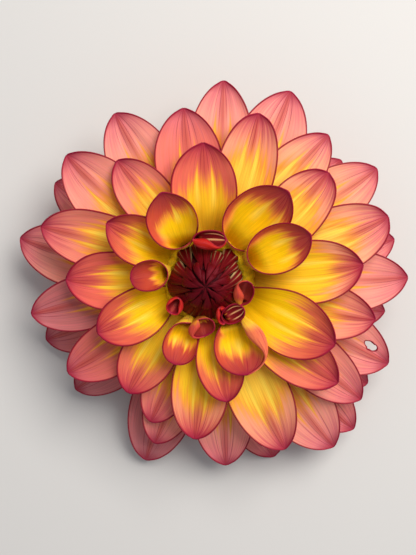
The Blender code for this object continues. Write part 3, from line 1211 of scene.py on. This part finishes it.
# The core that the petals grow from, as in the solids, and the raised bed that shows round the centre
RAY_CORE = ((0, 26.8), (10.2, 26.8), (12.2, 25.2), (12.4, 21), (11.0, 16), (9.2, 13.7), (0, 13.7))
BED_TOP = ((0, 26.5), (8.8, 26.5), (9.9, 29.2), (11.4, 30.2), (12.8, 29.6), (14, 27.6), (14.4, 25))
RAY_BED = (*BED_TOP, *RAY_CORE[3:])

# How deep petals are sunk into the core, how much of a petal's bend its root turns back, and where
# the claws of the spoons and curls end
ROOT_DEPTH = 1.4 * MM
ROOT_TURN = 0.6
FOOT_HEIGHT = 25.6 * MM
FOOT_DEPTH = 0.7 * MM

# First seeds of the kinds of blades and florets, and the step from one ring or tier to the next
SPOON_SEED, CURL_SEED, BACK_SEED, BRACT_SEED = 0, 50, 700, 800
SEED_STEP = 20


def core_radius(height: float) -> float:
    """Radius of the core that the petals grow from, at a height."""
    radii, heights = zip(*RAY_CORE[-2:0:-1])
    return float(np.interp(height, np.multiply(heights, MM), np.multiply(radii, MM)))


def root_at(azimuth: float, height: float) -> Array:
    """Where a petal's root is sunk into the core."""
    return around(azimuth, core_radius(height) - ROOT_DEPTH, height)


# On old petals, a warmth below zero also brings painted shade.
RINGS = tuple(tuple(Petal(*row) for row in ring) for ring in (
    ((147, 33.8, 14.6, 152), (203, 34.4, 15.6, 203, -0.03),
     (281, 34.5, 14.0, 282), (336, 41.2, 18.4, 338, 0.02, -16)),
    ((91, 41.4, 19.0, 91, -0.03), (8, 46.3, 18.8, 9, 0.13), (234, 39.5, 16.0, 245, 0.01),
     (177, 41.3, 17.4, 178, -0.05), (324, 48.6, 16.6, 328), (266, 46.2, 17.2, 263, 0.08)),
    ((125, 45.3, 15.6, 129), (73, 52.6, 17.2, 80, 0.08, 0, 0.11),
     (296, 55.5, 19.0, 296, 0.09), (248, 44.9, 15.2, 246), (212, 49.6, 17.0, 208, -0.07),
     (160, 52.2, 17.2, 169), (349, 51.6, 17.2, 352, 0.06), (43, 49.0, 17.4, 53, 0.11, 0, 0.12)),
    ((97, 53.1, 20.0, 94, -0.05), (136.6, 57.2, 19.8, 133), (189, 54.3, 17.0, 193, -0.09),
     (21, 58.3, 20.2, 27, 0.12, 0, 0.10), (252, 51.7, 16.8, 249, 0.06), (324, 59.1, 17.4, 320)),
    ((117.6, 58.8, 20.0, 118), (85, 61.6, 18.8, 88, 0.02), (51, 58.4, 17.4, 47, 0.11),
     (2.6, 61.8, 19.2, 5), (308.6, 64.8, 21.2, 310, 0.05), (276.4, 57.3, 19.4, 273, 0.03)),
    ((66.5, 64.3, 21.4, 70, 0.03), (34.5, 63.4, 19.0, 34, 0.09), (337, 62.4, 20.4, 333),
     (251, 59.6, 20.4, 253, -0.1), (165.4, 60.0, 19.6, 159), (218.5, 53.3, 17.0, 215, -0.1),
     (316, 65.6, 18.6, 317, 0.04)),
    ((14, 60.8, 17.8, 15), (145.5, 57.4, 18.0, 147), (198.5, 54.4, 18.2, 200, -0.08),
     (43, 57.3, 16.4, 46), (352, 57.3, 16.6, 352), (329, 60.6, 17.4, 334),
     (291.5, 60.0, 20.4, 292)),
))


@dataclass(frozen=True)
class Pouch:
    """One young petal that is still hollow like a spoon, on a claw that reaches down to the core.

    The ends of its rim are given by azimuth, distance from the apex and height, seen from above.
    Each fold is the share of the half width that a margin is folded in by. The lean is how far its
    flame lies to the right of its middle. Folds start at the fold line, rise by the crown, and open
    out along the given stretch.
    """

    base: tuple[float, float, float]
    tip: tuple[float, float, float]
    width: float
    depth: float
    point: float
    folds: Span
    warmth: float
    age: float
    widest: float = 0.5
    lean: float = 0.0
    claw_end: float = 0.24
    fold_line: float = 0.66
    crown: float = 0.9 * MM
    opens: Span = (0.30, 0.85)
    opened: float = 0.95
    roundness: float = 0.8
    ripple: float = 0.35 * MM
    waves: Span = (0.8, 1.6)

    def share(self, along: Array) -> Array:
        """Width of the rim along its length, as a share of the full width.

        Args:
            along: Shares of the length.

        Returns:
            Shares of the full width.
        """
        rounded = np.sqrt(np.clip(1 - (1 - along / self.widest) ** 2, 0, 1))
        past = np.clip((along - self.widest) / (1 - self.widest), 0, 1)
        return np.where(along < self.widest, rounded, pointed(past, self.point))

    def sheet(self, rows: int, columns: int, seed: int) -> BladeSheet:
        """Lay the pouch out as a sheet of points.

        Args:
            rows: Number of steps from the inner end of its rim to its tip.
            columns: Even number of steps from margin to margin.
            seed: Number that tells one pouch from the next.

        Returns:
            The sheet.
        """
        inner, tip = (HEAD.under_plan(math.radians(a), r * MM, h * MM) for a, r, h in (self.base, self.tip))
        long = tip - inner
        side = right_of(math.atan2(long[1], long[0]))
        foot_radius = min(math.hypot(inner[0], inner[1]), core_radius(FOOT_HEIGHT) - FOOT_DEPTH)
        foot = around(math.atan2(inner[1], inner[0]), foot_radius, FOOT_HEIGHT)
        t = LAST_ROW * (1 - np.cos(math.pi * np.linspace(0, 1, rows + 1))) / 2
        across, along = np.meshgrid(np.linspace(-1, 1, columns + 1), t)
        full = self.share(t)[:, None]
        claw = np.clip(1 - along / self.claw_end, 0, 1) ** 2
        bowl = self.depth * MM * np.sin(math.pi * np.clip(along, 0, 1) ** self.roundness) ** self.roundness
        keel = (foot - inner) * claw[..., None] - UP * (bowl * (1 - claw))[..., None]
        fold = np.where(across < 0, *self.folds)
        rim = np.where(fold > 0, self.fold_line, 1.0)
        fold = fold * (1 - self.opened * smooth(*self.opens, along))
        angle = math.pi / 2 * np.clip(across / rim, -1, 1)
        turned_in = np.clip((np.abs(across) - rim) / np.maximum(1 - rim, 1e-6), 0, 1)
        sideways = np.sin(angle) - np.sign(across) * fold * np.sin(turned_in * math.pi / 2)
        sideways = full * self.width * MM / 2 * sideways
        chance = random.Random(seed)
        phase, steps = chance.uniform(0, math.tau), chance.uniform(*self.waves)
        wave = self.ripple * np.cos(math.tau * steps * along + phase + 1.3 * across) * across**2
        lift = full * (self.crown * (np.sin(math.pi * turned_in) - turned_in**2) + wave)
        points = inner + long * along[..., None] + side * sideways[..., None]
        points = points + keel * np.cos(angle)[..., None] + UP * lift[..., None]
        return BladeSheet(points, along, across - self.lean)


SPOONS = tuple(Pouch(*row) for row in (
    ((160, 11.5, 38.6), (173.6, 21.5, 41.2), 8.8, 4.2, 0.46, (0, 0), -0.36, -0.09),
    ((243, 11.9, 37.6), (248.2, 24.2, 39.8), 9.9, 4.6, 0.48, (0, 0), -0.15, 0.0, 0.55),
    ((311, 12.6, 37.2), (295.4, 28.2, 39.8), 15.3, 5.2, 0.52, (0.64, 0), -0.04, 0.0, 0.5, -0.15),
    ((122, 13.1, 38.4), (114.8, 29.2, 41.0), 14.4, 3.8, 0.72, (0, 0), -0.12, 0.0, 0.46, 0.40),
    ((30, 14.4, 37.2), (26.3, 33.1, 40.4), 13.8, 4.0, 0.60, (0, 0), -0.03, 0.0, 0.46, 0.12),
    ((60, 14.2, 34.8), (49, 35.5, 39.4), 17.2, 4.2, 0.60, (0, 0), -0.02, 0.02, 0.42, 0.15),
))
CURLS = tuple(Pouch(*row) for row in (
    ((258, 9.8, 37.2), (269, 14.4, 37.8), 7.8, 3.4, 0.40, (0, 0.95), -0.5, -0.2),
    ((205, 8.4, 36.2), (217, 12.8, 36.8), 4.6, 2.8, 0.42, (0.6, 0.35), -0.9, -0.3),
    ((105, 13.9, 37.6), (66, 14.6, 38.4), 5.4, 2.4, 0.45, (0, 1.1), -0.7, -0.3),
    ((333, 11.4, 36.4), (8, 12.0, 38.2), 5.6, 3.0, 0.45, (1.1, 0), -0.9, -0.2),
    ((297, 11.0, 35.6), (331, 12.6, 36.8), 5.4, 2.0, 0.50, (0, 0), -0.7, -0.3),
    ((304, 7.4, 37.2), (297, 12.2, 36.8), 3.2, 2.0, 0.45, (0.9, 0.7), -0.9, -0.3),
))


@dataclass(frozen=True)
class RayPetals:
    """All ray florets, from the curls at the centre to the oldest ones on the surface.

    The groups of three are values for the youngest, the middle and the oldest ring. The bitten
    petal has finer cells by the given number.
    """

    finishes: Faces
    bed_finish: Material
    rings: tuple[tuple[Petal, ...], ...] = RINGS
    curls: tuple[Pouch, ...] = CURLS
    spoons: tuple[Pouch, ...] = SPOONS
    tip_height: Ages = (41.5, 25.5, 10.5)
    root_height: Ages = (25.6, 20.5, 15.6)
    root_rise: Ages = (72, 38, 8)
    tip_rise: Ages = (26, -8, -20)
    cup: Ages = (54, 26, 17)
    point: Ages = (0.52, 0.62, 0.64)
    groove: float = 0.30 * MM
    ripple: float = 0.28 * MM
    tip_pinch: float = 18
    thickness: float = 0.36 * MM
    cells: tuple[int, int] = (44, 26)
    pouch_cells: tuple[int, int] = (44, 40)
    clearance: float = 0.7 * MM
    search: float = 4 * MM
    pouch_search: float = 6.4 * MM
    back_count: int = 11
    back_start: float = math.radians(20)
    back_reach: Span = (0.94, 1.06)
    back_root_slope: float = -2
    back_tip_slope: Span = (-42, -34)
    back_length: float = 45 * MM
    back_width: float = 15 * MM
    back_root_height: float = 14.9 * MM
    back_tip_height: float = 0.36 * MM
    back_form: BladeForm = BladeForm(point=0.8, cup=20, groove=0.25 * MM)
    back_seed: int = 7
    bitten_cells: int = 3

    def petal(self, petal: Petal, age: float, seed: int) -> Blade:
        """Blade of an opened petal.

        Args:
            petal: Its entry in the table.
            age: Its ring's age, from 0 to 1.
            seed: Number that tells one blade from the next.

        Returns:
            The blade.
        """
        azimuth, points_to = math.radians(petal.azimuth), math.radians(petal.points_to)
        root_azimuth = azimuth - ROOT_TURN * (points_to - azimuth)
        root = root_at(root_azimuth, aged(age, self.root_height) * MM)
        tip = HEAD.under_plan(azimuth, petal.reach * MM, aged(age, self.tip_height) * MM)
        slopes = aged(age, self.root_rise), aged(age, self.tip_rise)
        point, cup = aged(age, self.point) - petal.blunt, aged(age, self.cup) + petal.cup
        form = BladeForm(point, cup, self.groove, self.ripple, self.tip_pinch)
        return Blade(Rib.between(root, tip, (root_azimuth, points_to), slopes), petal.width * MM, form, seed)

    def back(self, place: int, chance: random.Random) -> Blade:
        """Blade of one of the oldest petals, bent back to the surface.

        Args:
            place: Its number on the golden angle.
            chance: The draw of reaches and slopes.

        Returns:
            The blade.
        """
        azimuth = self.back_start + place * GOLDEN_ANGLE
        tip = HEAD.under_plan(azimuth, self.back_length * chance.uniform(*self.back_reach), 0)
        tip[2] += (self.back_tip_height - (HEAD.matrix() @ Vector(tip)).z) / math.cos(HEAD.lean)
        slopes = self.back_root_slope, chance.uniform(*self.back_tip_slope)
        rib = Rib.between(root_at(azimuth, self.back_root_height), tip, (azimuth, azimuth), slopes)
        return Blade(rib, self.back_width, self.back_form, BACK_SEED + place)

    def leaf(
        self, blade: Blade, trees: list[BVHTree], age: float, warmth: float = 0.0, bite: Bite | None = None,
    ) -> Leaf:
        """Settle one petal's sheet under those made before it.

        Args:
            blade: Its blade.
            trees: Search trees of the younger petals, which its own joins.
            age: Its age.
            warmth: Its warmth.
            bite: A hole in it.

        Returns:
            The sheet, ready for its piece.
        """
        finer = 1 if bite is None else self.bitten_cells
        sheet = blade.sheet(self.cells[0] * finer, self.cells[1] * finer)
        sheet.lower_under(trees, self.clearance, self.search)
        trees.append(sheet.tree())
        return Leaf(sheet, blade.seed, age, warmth, bite)

    def add(self, name: str, leaves: list[Leaf]) -> None:
        """Make one piece of petals."""
        settle(blade_piece(name, leaves, self.thickness, self.finishes), Solid.PETALS)

    def make(self) -> None:
        """Make every petal, each one settled under the younger ones, and the bed that they grow from."""
        trees: list[BVHTree] = []
        for kind, pouches, first in (("curl", self.curls, CURL_SEED), ("0", self.spoons, SPOON_SEED)):
            for number, pouch in enumerate(pouches):
                sheet = pouch.sheet(*self.pouch_cells, first + number)
                sheet.lower_under(trees, self.clearance, self.pouch_search, 0.0)
                trees.append(sheet.tree())
                self.add(f"petal_{kind}_{number}", [Leaf(sheet, first + number, pouch.age, pouch.warmth)])
        for ring, petals in enumerate(self.rings, start=1):
            age = ring / len(self.rings)
            for number, petal in enumerate(petals):
                name = f"petal_{ring}_{number}"
                blade = self.petal(petal, age, ring * SEED_STEP + number)
                bite = BITE if name == BITE.piece else None
                self.add(name, [self.leaf(blade, trees, age, petal.warmth, bite)])
        chance = random.Random(self.back_seed)
        backs = [self.leaf(self.back(number, chance), trees, 1.0) for number in range(self.back_count)]
        self.add("petals_back", backs)
        bed = RidgedForm(RAY_BED, ridges=26, ridge_depth=0.5, steps=208, tilt=1.0, raised_at=38)
        bed = bed.make("petals_core", self.bed_finish)
        settle(bed, Solid.PETALS)


@dataclass(frozen=True)
class BractRing:
    """Ring of bracts behind the florets, all alike but for their seeds."""

    name: str
    solid: Solid
    slot: Slot
    count: int
    root: Span
    tip: Span
    slopes: Span
    width: float
    cup: float
    point: float
    thickness: float
    groove: float = 0.1 * MM
    ripple: float = 0.25 * MM
    flare: float = 1.5
    cells: tuple[int, int] = (28, 16)

    def make(self, finish: Material) -> None:
        """Make the ring as one piece.

        Args:
            finish: Material of the bracts' two faces.
        """
        form = BladeForm(self.point, self.cup, self.groove, self.ripple, flare=self.flare)
        leaves = []
        for number in range(self.count):
            azimuth = number * math.tau / self.count
            root, tip = (around(azimuth, r * MM, h * MM) for r, h in (self.root, self.tip))
            rib = Rib.between(root, tip, (azimuth, azimuth), self.slopes)
            blade = Blade(rib, self.width * MM, form, BRACT_SEED + number)
            leaves.append(Leaf(blade.sheet(*self.cells), blade.seed, 0.5))
        piece = blade_piece(self.name, leaves, self.thickness * MM, (finish, finish))
        settle(piece, self.solid)


INNER_BRACTS = BractRing(
    "bracts_inner", Solid.BRACTS, Slot.BRACT, count=8, root=(6.5, 12.9), tip=(19.5, 10.3),
    slopes=(-6, -20), width=8.4, cup=16, point=0.6, thickness=0.35,
)
OUTER_BRACTS = BractRing(
    "bracts_outer", Solid.STALK, Slot.GREEN, count=6, root=(6.8, 11.0), tip=(22.8, 5.4),
    slopes=(-4, -38), width=7.6, cup=24, point=0.8, thickness=0.6,
)


def refined(profile: Profile, parts: int) -> Array:
    """A profile with each of its steps cut into a number of parts."""
    places = np.arange((len(profile) - 1) * parts + 1) / parts
    return np.stack([np.interp(places, range(len(profile)), column) for column in zip(*profile)], axis=1)


@dataclass(frozen=True)
class RidgedForm:
    """A form round the head's axis with lengthwise ridges, cut off level at the surface.

    The tilt is how far it is raised at the given azimuth, and lowered across from there. Ridges and
    tilt fade out inside their radii, and the ridges wander a little to either side.
    """

    profile: Profile
    ridges: int
    ridge_depth: float
    steps: int
    tilt: float = 0.0
    raised_at: float = 0.0
    wander: float = 0.8
    ridge_slope: float = 0.6
    ridge_radius: float = 3.0
    tilt_radius: float = 9.0
    parts: int = 3

    def make(self, name: str, finish: Material) -> Piece:
        """Make the form as one piece.

        Args:
            name: Name of the piece.
            finish: Its material.

        Returns:
            The piece.
        """
        azimuths = np.linspace(0, math.tau, self.steps, endpoint=False)
        wave = 1 - np.abs(np.sin(self.ridges * azimuths / 2 + self.wander * np.sin(3 * azimuths)))
        ridge = self.ridge_depth * MM * wave
        tilt = self.tilt * MM * np.cos(azimuths - math.radians(self.raised_at))
        rows = []
        for radius, height in refined(self.profile, self.parts):
            ridged = radius * MM - ridge * min(radius / self.ridge_radius, 1)
            heights = height * MM - self.ridge_slope * ridge + tilt * min(radius / self.tilt_radius, 1)
            rows.append(np.stack((ridged * np.cos(azimuths), ridged * np.sin(azimuths), heights), axis=1))
        turn, shift = np.array(HEAD.matrix().to_3x3()), np.array(HEAD.matrix().translation)
        world = np.stack(rows) @ turn.T + shift
        world[..., 2] = np.maximum(world[..., 2], 0)
        across, along = np.meshgrid(np.linspace(-1, 1, self.steps), np.linspace(0, 1, len(rows)))
        stock = MeshStock()
        stock.add_tube((world - shift) @ turn, (along, across, 0.0), (0.0, 0.5, 3.0))
        return stock.closed_piece(name, finish)


STALK_STUB = RidgedForm(
    ((0, 12.1), (8.2, 12.1), (8.5, 11.8), (8.6, 11.3), (8.2, 10.7), (7.4, 10.2), (5.9, 9.3), (4.7, 8.8),
     (4.0, 8.1), (3.5, 7.2), (3.2, 6.2), (3.12, 4.6), (3.1, 2.6), (3.1, 0.0), (3.1, -2.0)),
    ridges=12, ridge_depth=0.07, steps=72,
)
INNER_BRACT_RING = ((0, 13.3), (8.8, 13.3), (8.8, 12.5), (0, 12.5))


@dataclass(frozen=True)
class Hood:
    """One closed floret of the centre: its shoulder, how far in its tip lies, and its stripes."""

    azimuth: float
    radius: float
    tip: float
    width: float
    pale: float
    lift: float
    swirl: float = 6.0


OUTER_HOODS = tuple(Hood(*row) for row in (
    (47, 12.4, 6.0, 6.2, 1.0, 0.8, 2), (15, 10.9, 3.6, 4.2, 1.0, 0.9, -34),
    (32, 10.8, 4.0, 3.2, 0.9, -0.1, -4), (69, 10.0, 3.6, 3.8, 0.8, 0.4, 0),
    (85, 11.4, 4.6, 4.4, 0.1, 0.3), (102, 12.1, 5.0, 5.2, 0.7, 0.5, 2),
    (127, 12.3, 6.2, 5.2, 1.0, 0.5, 4), (151, 10.8, 4.0, 4.0, 0.7, 0.3, 6),
    (171, 11.3, 4.4, 4.2, 0.1, 0.4, 4), (191, 12.1, 4.6, 5.4, 0.3, 0.3, 4),
    (212, 11.2, 4.0, 4.6, 0.1, 0.3), (230, 11.8, 3.8, 5.0, 0.3, 0.2, 8),
    (249, 12.3, 4.0, 5.2, 0.7, 0.5), (268, 11.8, 4.2, 4.8, 0.6, 0.2, 6),
    (288, 12.1, 3.8, 5.2, 0.6, 0.6, 6), (308, 11.6, 3.0, 4.6, 0.6, 0.2),
    (328, 10.8, 3.8, 3.8, 0.6, 0.2, 4), (346, 10.6, 2.6, 4.0, 0.8, 0.5, 6),
))
MIDDLE_HOODS = tuple(
    Hood(
        azimuth=11 + 32.7 * n + 6 * math.sin(2.3 * n), radius=7.2 + 0.6 * math.sin(1.9 * n), tip=1.8,
        width=3.0, pale=0.15, lift=0.2 + 0.4 * math.sin(4.1 * n), swirl=14,
    )
    for n in range(11)
)
INNER_HOODS = tuple(
    Hood(
        azimuth=51.4 * n + 8 * math.sin(3.1 * n), radius=4.4, tip=0.3,
        width=2.1, pale=0.0, lift=0.2 + 0.35 * math.sin(2.7 * n), swirl=18,
    )
    for n in range(7)
)


@dataclass(frozen=True)
class CentreFlorets:
    """Closed florets of the centre, bent inwards over a small dome."""

    finish: Material
    core_finish: Material
    tiers: tuple[tuple[Hood, ...], ...] = (OUTER_HOODS, MIDDLE_HOODS, INNER_HOODS)
    rise: float = 13.5 * MM
    radius: float = 12.6 * MM
    cells: tuple[int, int] = (26, 36)
    widest: float = 0.40
    claw_width: float = 0.45
    foot_radius: float = 0.80
    foot_depth: float = 5.5 * MM
    shoulder_out: float = 1.2 * MM
    shoulder_depth: float = 1.6 * MM
    crest: float = 0.5 * MM
    tip_depth: float = 0.6 * MM
    underside: float = 0.4
    valley_at: float = 0.42
    valley_width: float = 0.13
    valley_depth: float = 0.42
    valley_pinch: float = 0.1
    taper: float = 1.5
    least_width: float = 0.02
    last_ring: float = 0.998
    rim_radius: float = 12
    core: Profile = ((0, 39.2), (2.6, 38.9), (5.2, 37.6), (7.4, 34.8), (8.6, 31.6), (9.2, 27.2), (0, 27.2))

    def dome(self, radius: float) -> float:
        """Height of the centre's outer form at a radius."""
        share = min(radius / self.radius, 0.985)
        return HEAD.height - self.rise * (1 - math.sqrt(1 - share * share))

    def add_hood(self, hood: Hood, stock: MeshStock, seed: int) -> None:
        """Add one closed floret to a stock of points and faces.

        Args:
            hood: The floret's entry.
            stock: The stock.
            seed: Number that tells one floret from the next.
        """
        azimuth, swirl = math.radians(hood.azimuth), math.radians(hood.swirl)
        radius, tip, lift = hood.radius * MM, hood.tip * MM, hood.lift * MM
        height = self.dome(radius)
        points = np.stack((
            around(azimuth, radius * self.foot_radius, height - self.foot_depth),
            around(azimuth, radius + self.shoulder_out, height - self.shoulder_depth),
            around(azimuth + swirl / 2, (radius + tip + self.shoulder_out) / 2, height + lift + self.crest),
            around(azimuth + swirl, tip, self.dome(tip) + lift - self.tip_depth),
        ))
        rib = Rib(points, (right_of(azimuth), right_of(azimuth)))
        rings, spokes = self.cells
        t = np.linspace(0.0, self.last_ring, rings + 1)
        side, up = rib.axes(t)
        rise = np.sin(math.pi / 2 * np.clip(t / self.widest, 0, 1))
        rise = self.claw_width + (1 - self.claw_width) * rise
        fall = 1 - np.clip((t - self.widest) / (1 - self.widest), 0, 1) ** self.taper
        half = hood.width * MM / 2 * np.maximum(rise * fall, self.least_width)[:, None]
        angle = np.linspace(0, math.tau, spokes, endpoint=False)
        upper = np.sin(angle) > 0
        depth = smooth(0.05, 0.4, t) * (1 - 0.6 * smooth(0.6, 1, t))
        valleys = depth[:, None] * line_at(np.cos(angle), self.valley_at, self.valley_width) * upper
        x = np.cos(angle) * half * (1 - self.valley_pinch * valleys)
        y = np.sin(angle) * np.where(upper, 1 - self.valley_depth * valleys, self.underside) * half
        places = rib.places(t)[:, None] + side[:, None] * x[..., None] + up[:, None] * y[..., None]
        across, along = np.meshgrid(np.cos(angle), t)
        # Underside of each floret, where its finish paints shade.
        under = np.broadcast_to(np.where(upper, 0.0, 1.0), along.shape)
        stock.add_tube(places, (along, across, under), (hood.pale, hood.radius / self.rim_radius, seed))

    def make(self) -> None:
        """Make the tiers of florets and the small core under them."""
        for tier, (name, hoods) in enumerate(zip(("outer", "middle", "inner"), self.tiers)):
            stock = MeshStock()
            for number, hood in enumerate(hoods):
                self.add_hood(hood, stock, tier * SEED_STEP + number)
            settle(stock.closed_piece(f"florets_{name}", self.finish), Solid.CENTRE)
        settle(turned("florets_core", self.core, 48, self.core_finish), Solid.CENTRE)


# Studio


@dataclass(frozen=True)
class Studio:
    """Pale floor, soft light and the camera straight above."""

    camera_at: tuple[float, float, float] = (-0.69 * MM, 0.40 * MM, 0.300)
    lens: float = 59.3
    key_turn: float = math.radians(48)
    key_rise: float = math.radians(56)
    key_distance: float = 0.62
    key_size: float = 0.40
    key_power: float = 4.6
    key_colour: Colour = (1.0, 0.96, 0.90)
    sky: Colour = (0.93, 0.95, 1.0)
    sky_strength: float = 0.40
    floor_size: float = 1.6
    floor_colour: Colour = (0.62, 0.61, 0.60)

    def add_camera(self) -> None:
        """Put the camera straight above the flower, the way that it is pictured."""
        camera = placed(bpy.data.cameras.new("camera"))
        camera.data.lens = self.lens
        camera.location = self.camera_at
        bpy.context.scene.camera = camera

    def add_lights(self) -> None:
        """Large soft lamp from the upper right, and a pale sky."""
        lamp = placed(bpy.data.lights.new("key", "AREA"))
        lamp.data.size = self.key_size
        lamp.data.energy = self.key_power
        lamp.data.color = self.key_colour
        direction = Vector(heading(self.key_turn, self.key_rise))
        lamp.location = direction * self.key_distance
        lamp.rotation_euler = direction.to_track_quat("Z", "Y").to_euler()
        world = bpy.data.worlds.new("sky")
        world.use_nodes = True
        background = world.node_tree.nodes["Background"]
        background.inputs[0].default_value = opaque(self.sky)
        background.inputs[1].default_value = self.sky_strength
        bpy.context.scene.world = world
        bpy.context.scene.view_settings.view_transform = "Standard"

    def add_floor(self) -> None:
        """Plain pale floor."""
        bpy.ops.mesh.primitive_plane_add(size=self.floor_size)
        floor = bpy.context.object
        floor.name = "floor"
        paint = Paint("floor_plain")
        feeds = {"Base Color": opaque(self.floor_colour), "Roughness": 0.9}
        paint.feed(paint.tree.nodes["Principled BSDF"], feeds)
        floor.data.materials.append(paint.material)


def main() -> None:
    """Build the flower piece by piece and set it in its studio."""
    logging.basicConfig(level=logging.INFO, format="%(name)s: %(message)s")
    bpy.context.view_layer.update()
    studio = Studio()
    studio.add_camera()
    fibres, flame = fibre_group(), flame_group()
    faces = PetalFinish().make(fibres, flame), ReverseFinish().make(fibres)
    petal_bed, floret_bed_shade = PETAL_BED.make(), SHADED_FLORET_BED.make()
    leafy, papery = LEAFY.make(fibres), PAPERY.make(fibres)
    RayPetals(faces, petal_bed).make()
    CentreFlorets(FloretFinish().make(fibres), floret_bed_shade).make()
    INNER_BRACTS.make(papery)
    settle(turned("bracts_ring", INNER_BRACT_RING, 64, papery), Solid.BRACTS)
    OUTER_BRACTS.make(leafy)
    settle(STALK_STUB.make("stalk_stub", leafy), Solid.STALK)
    studio.add_floor()
    studio.add_lights()


if __name__ == "__main__":
    main()
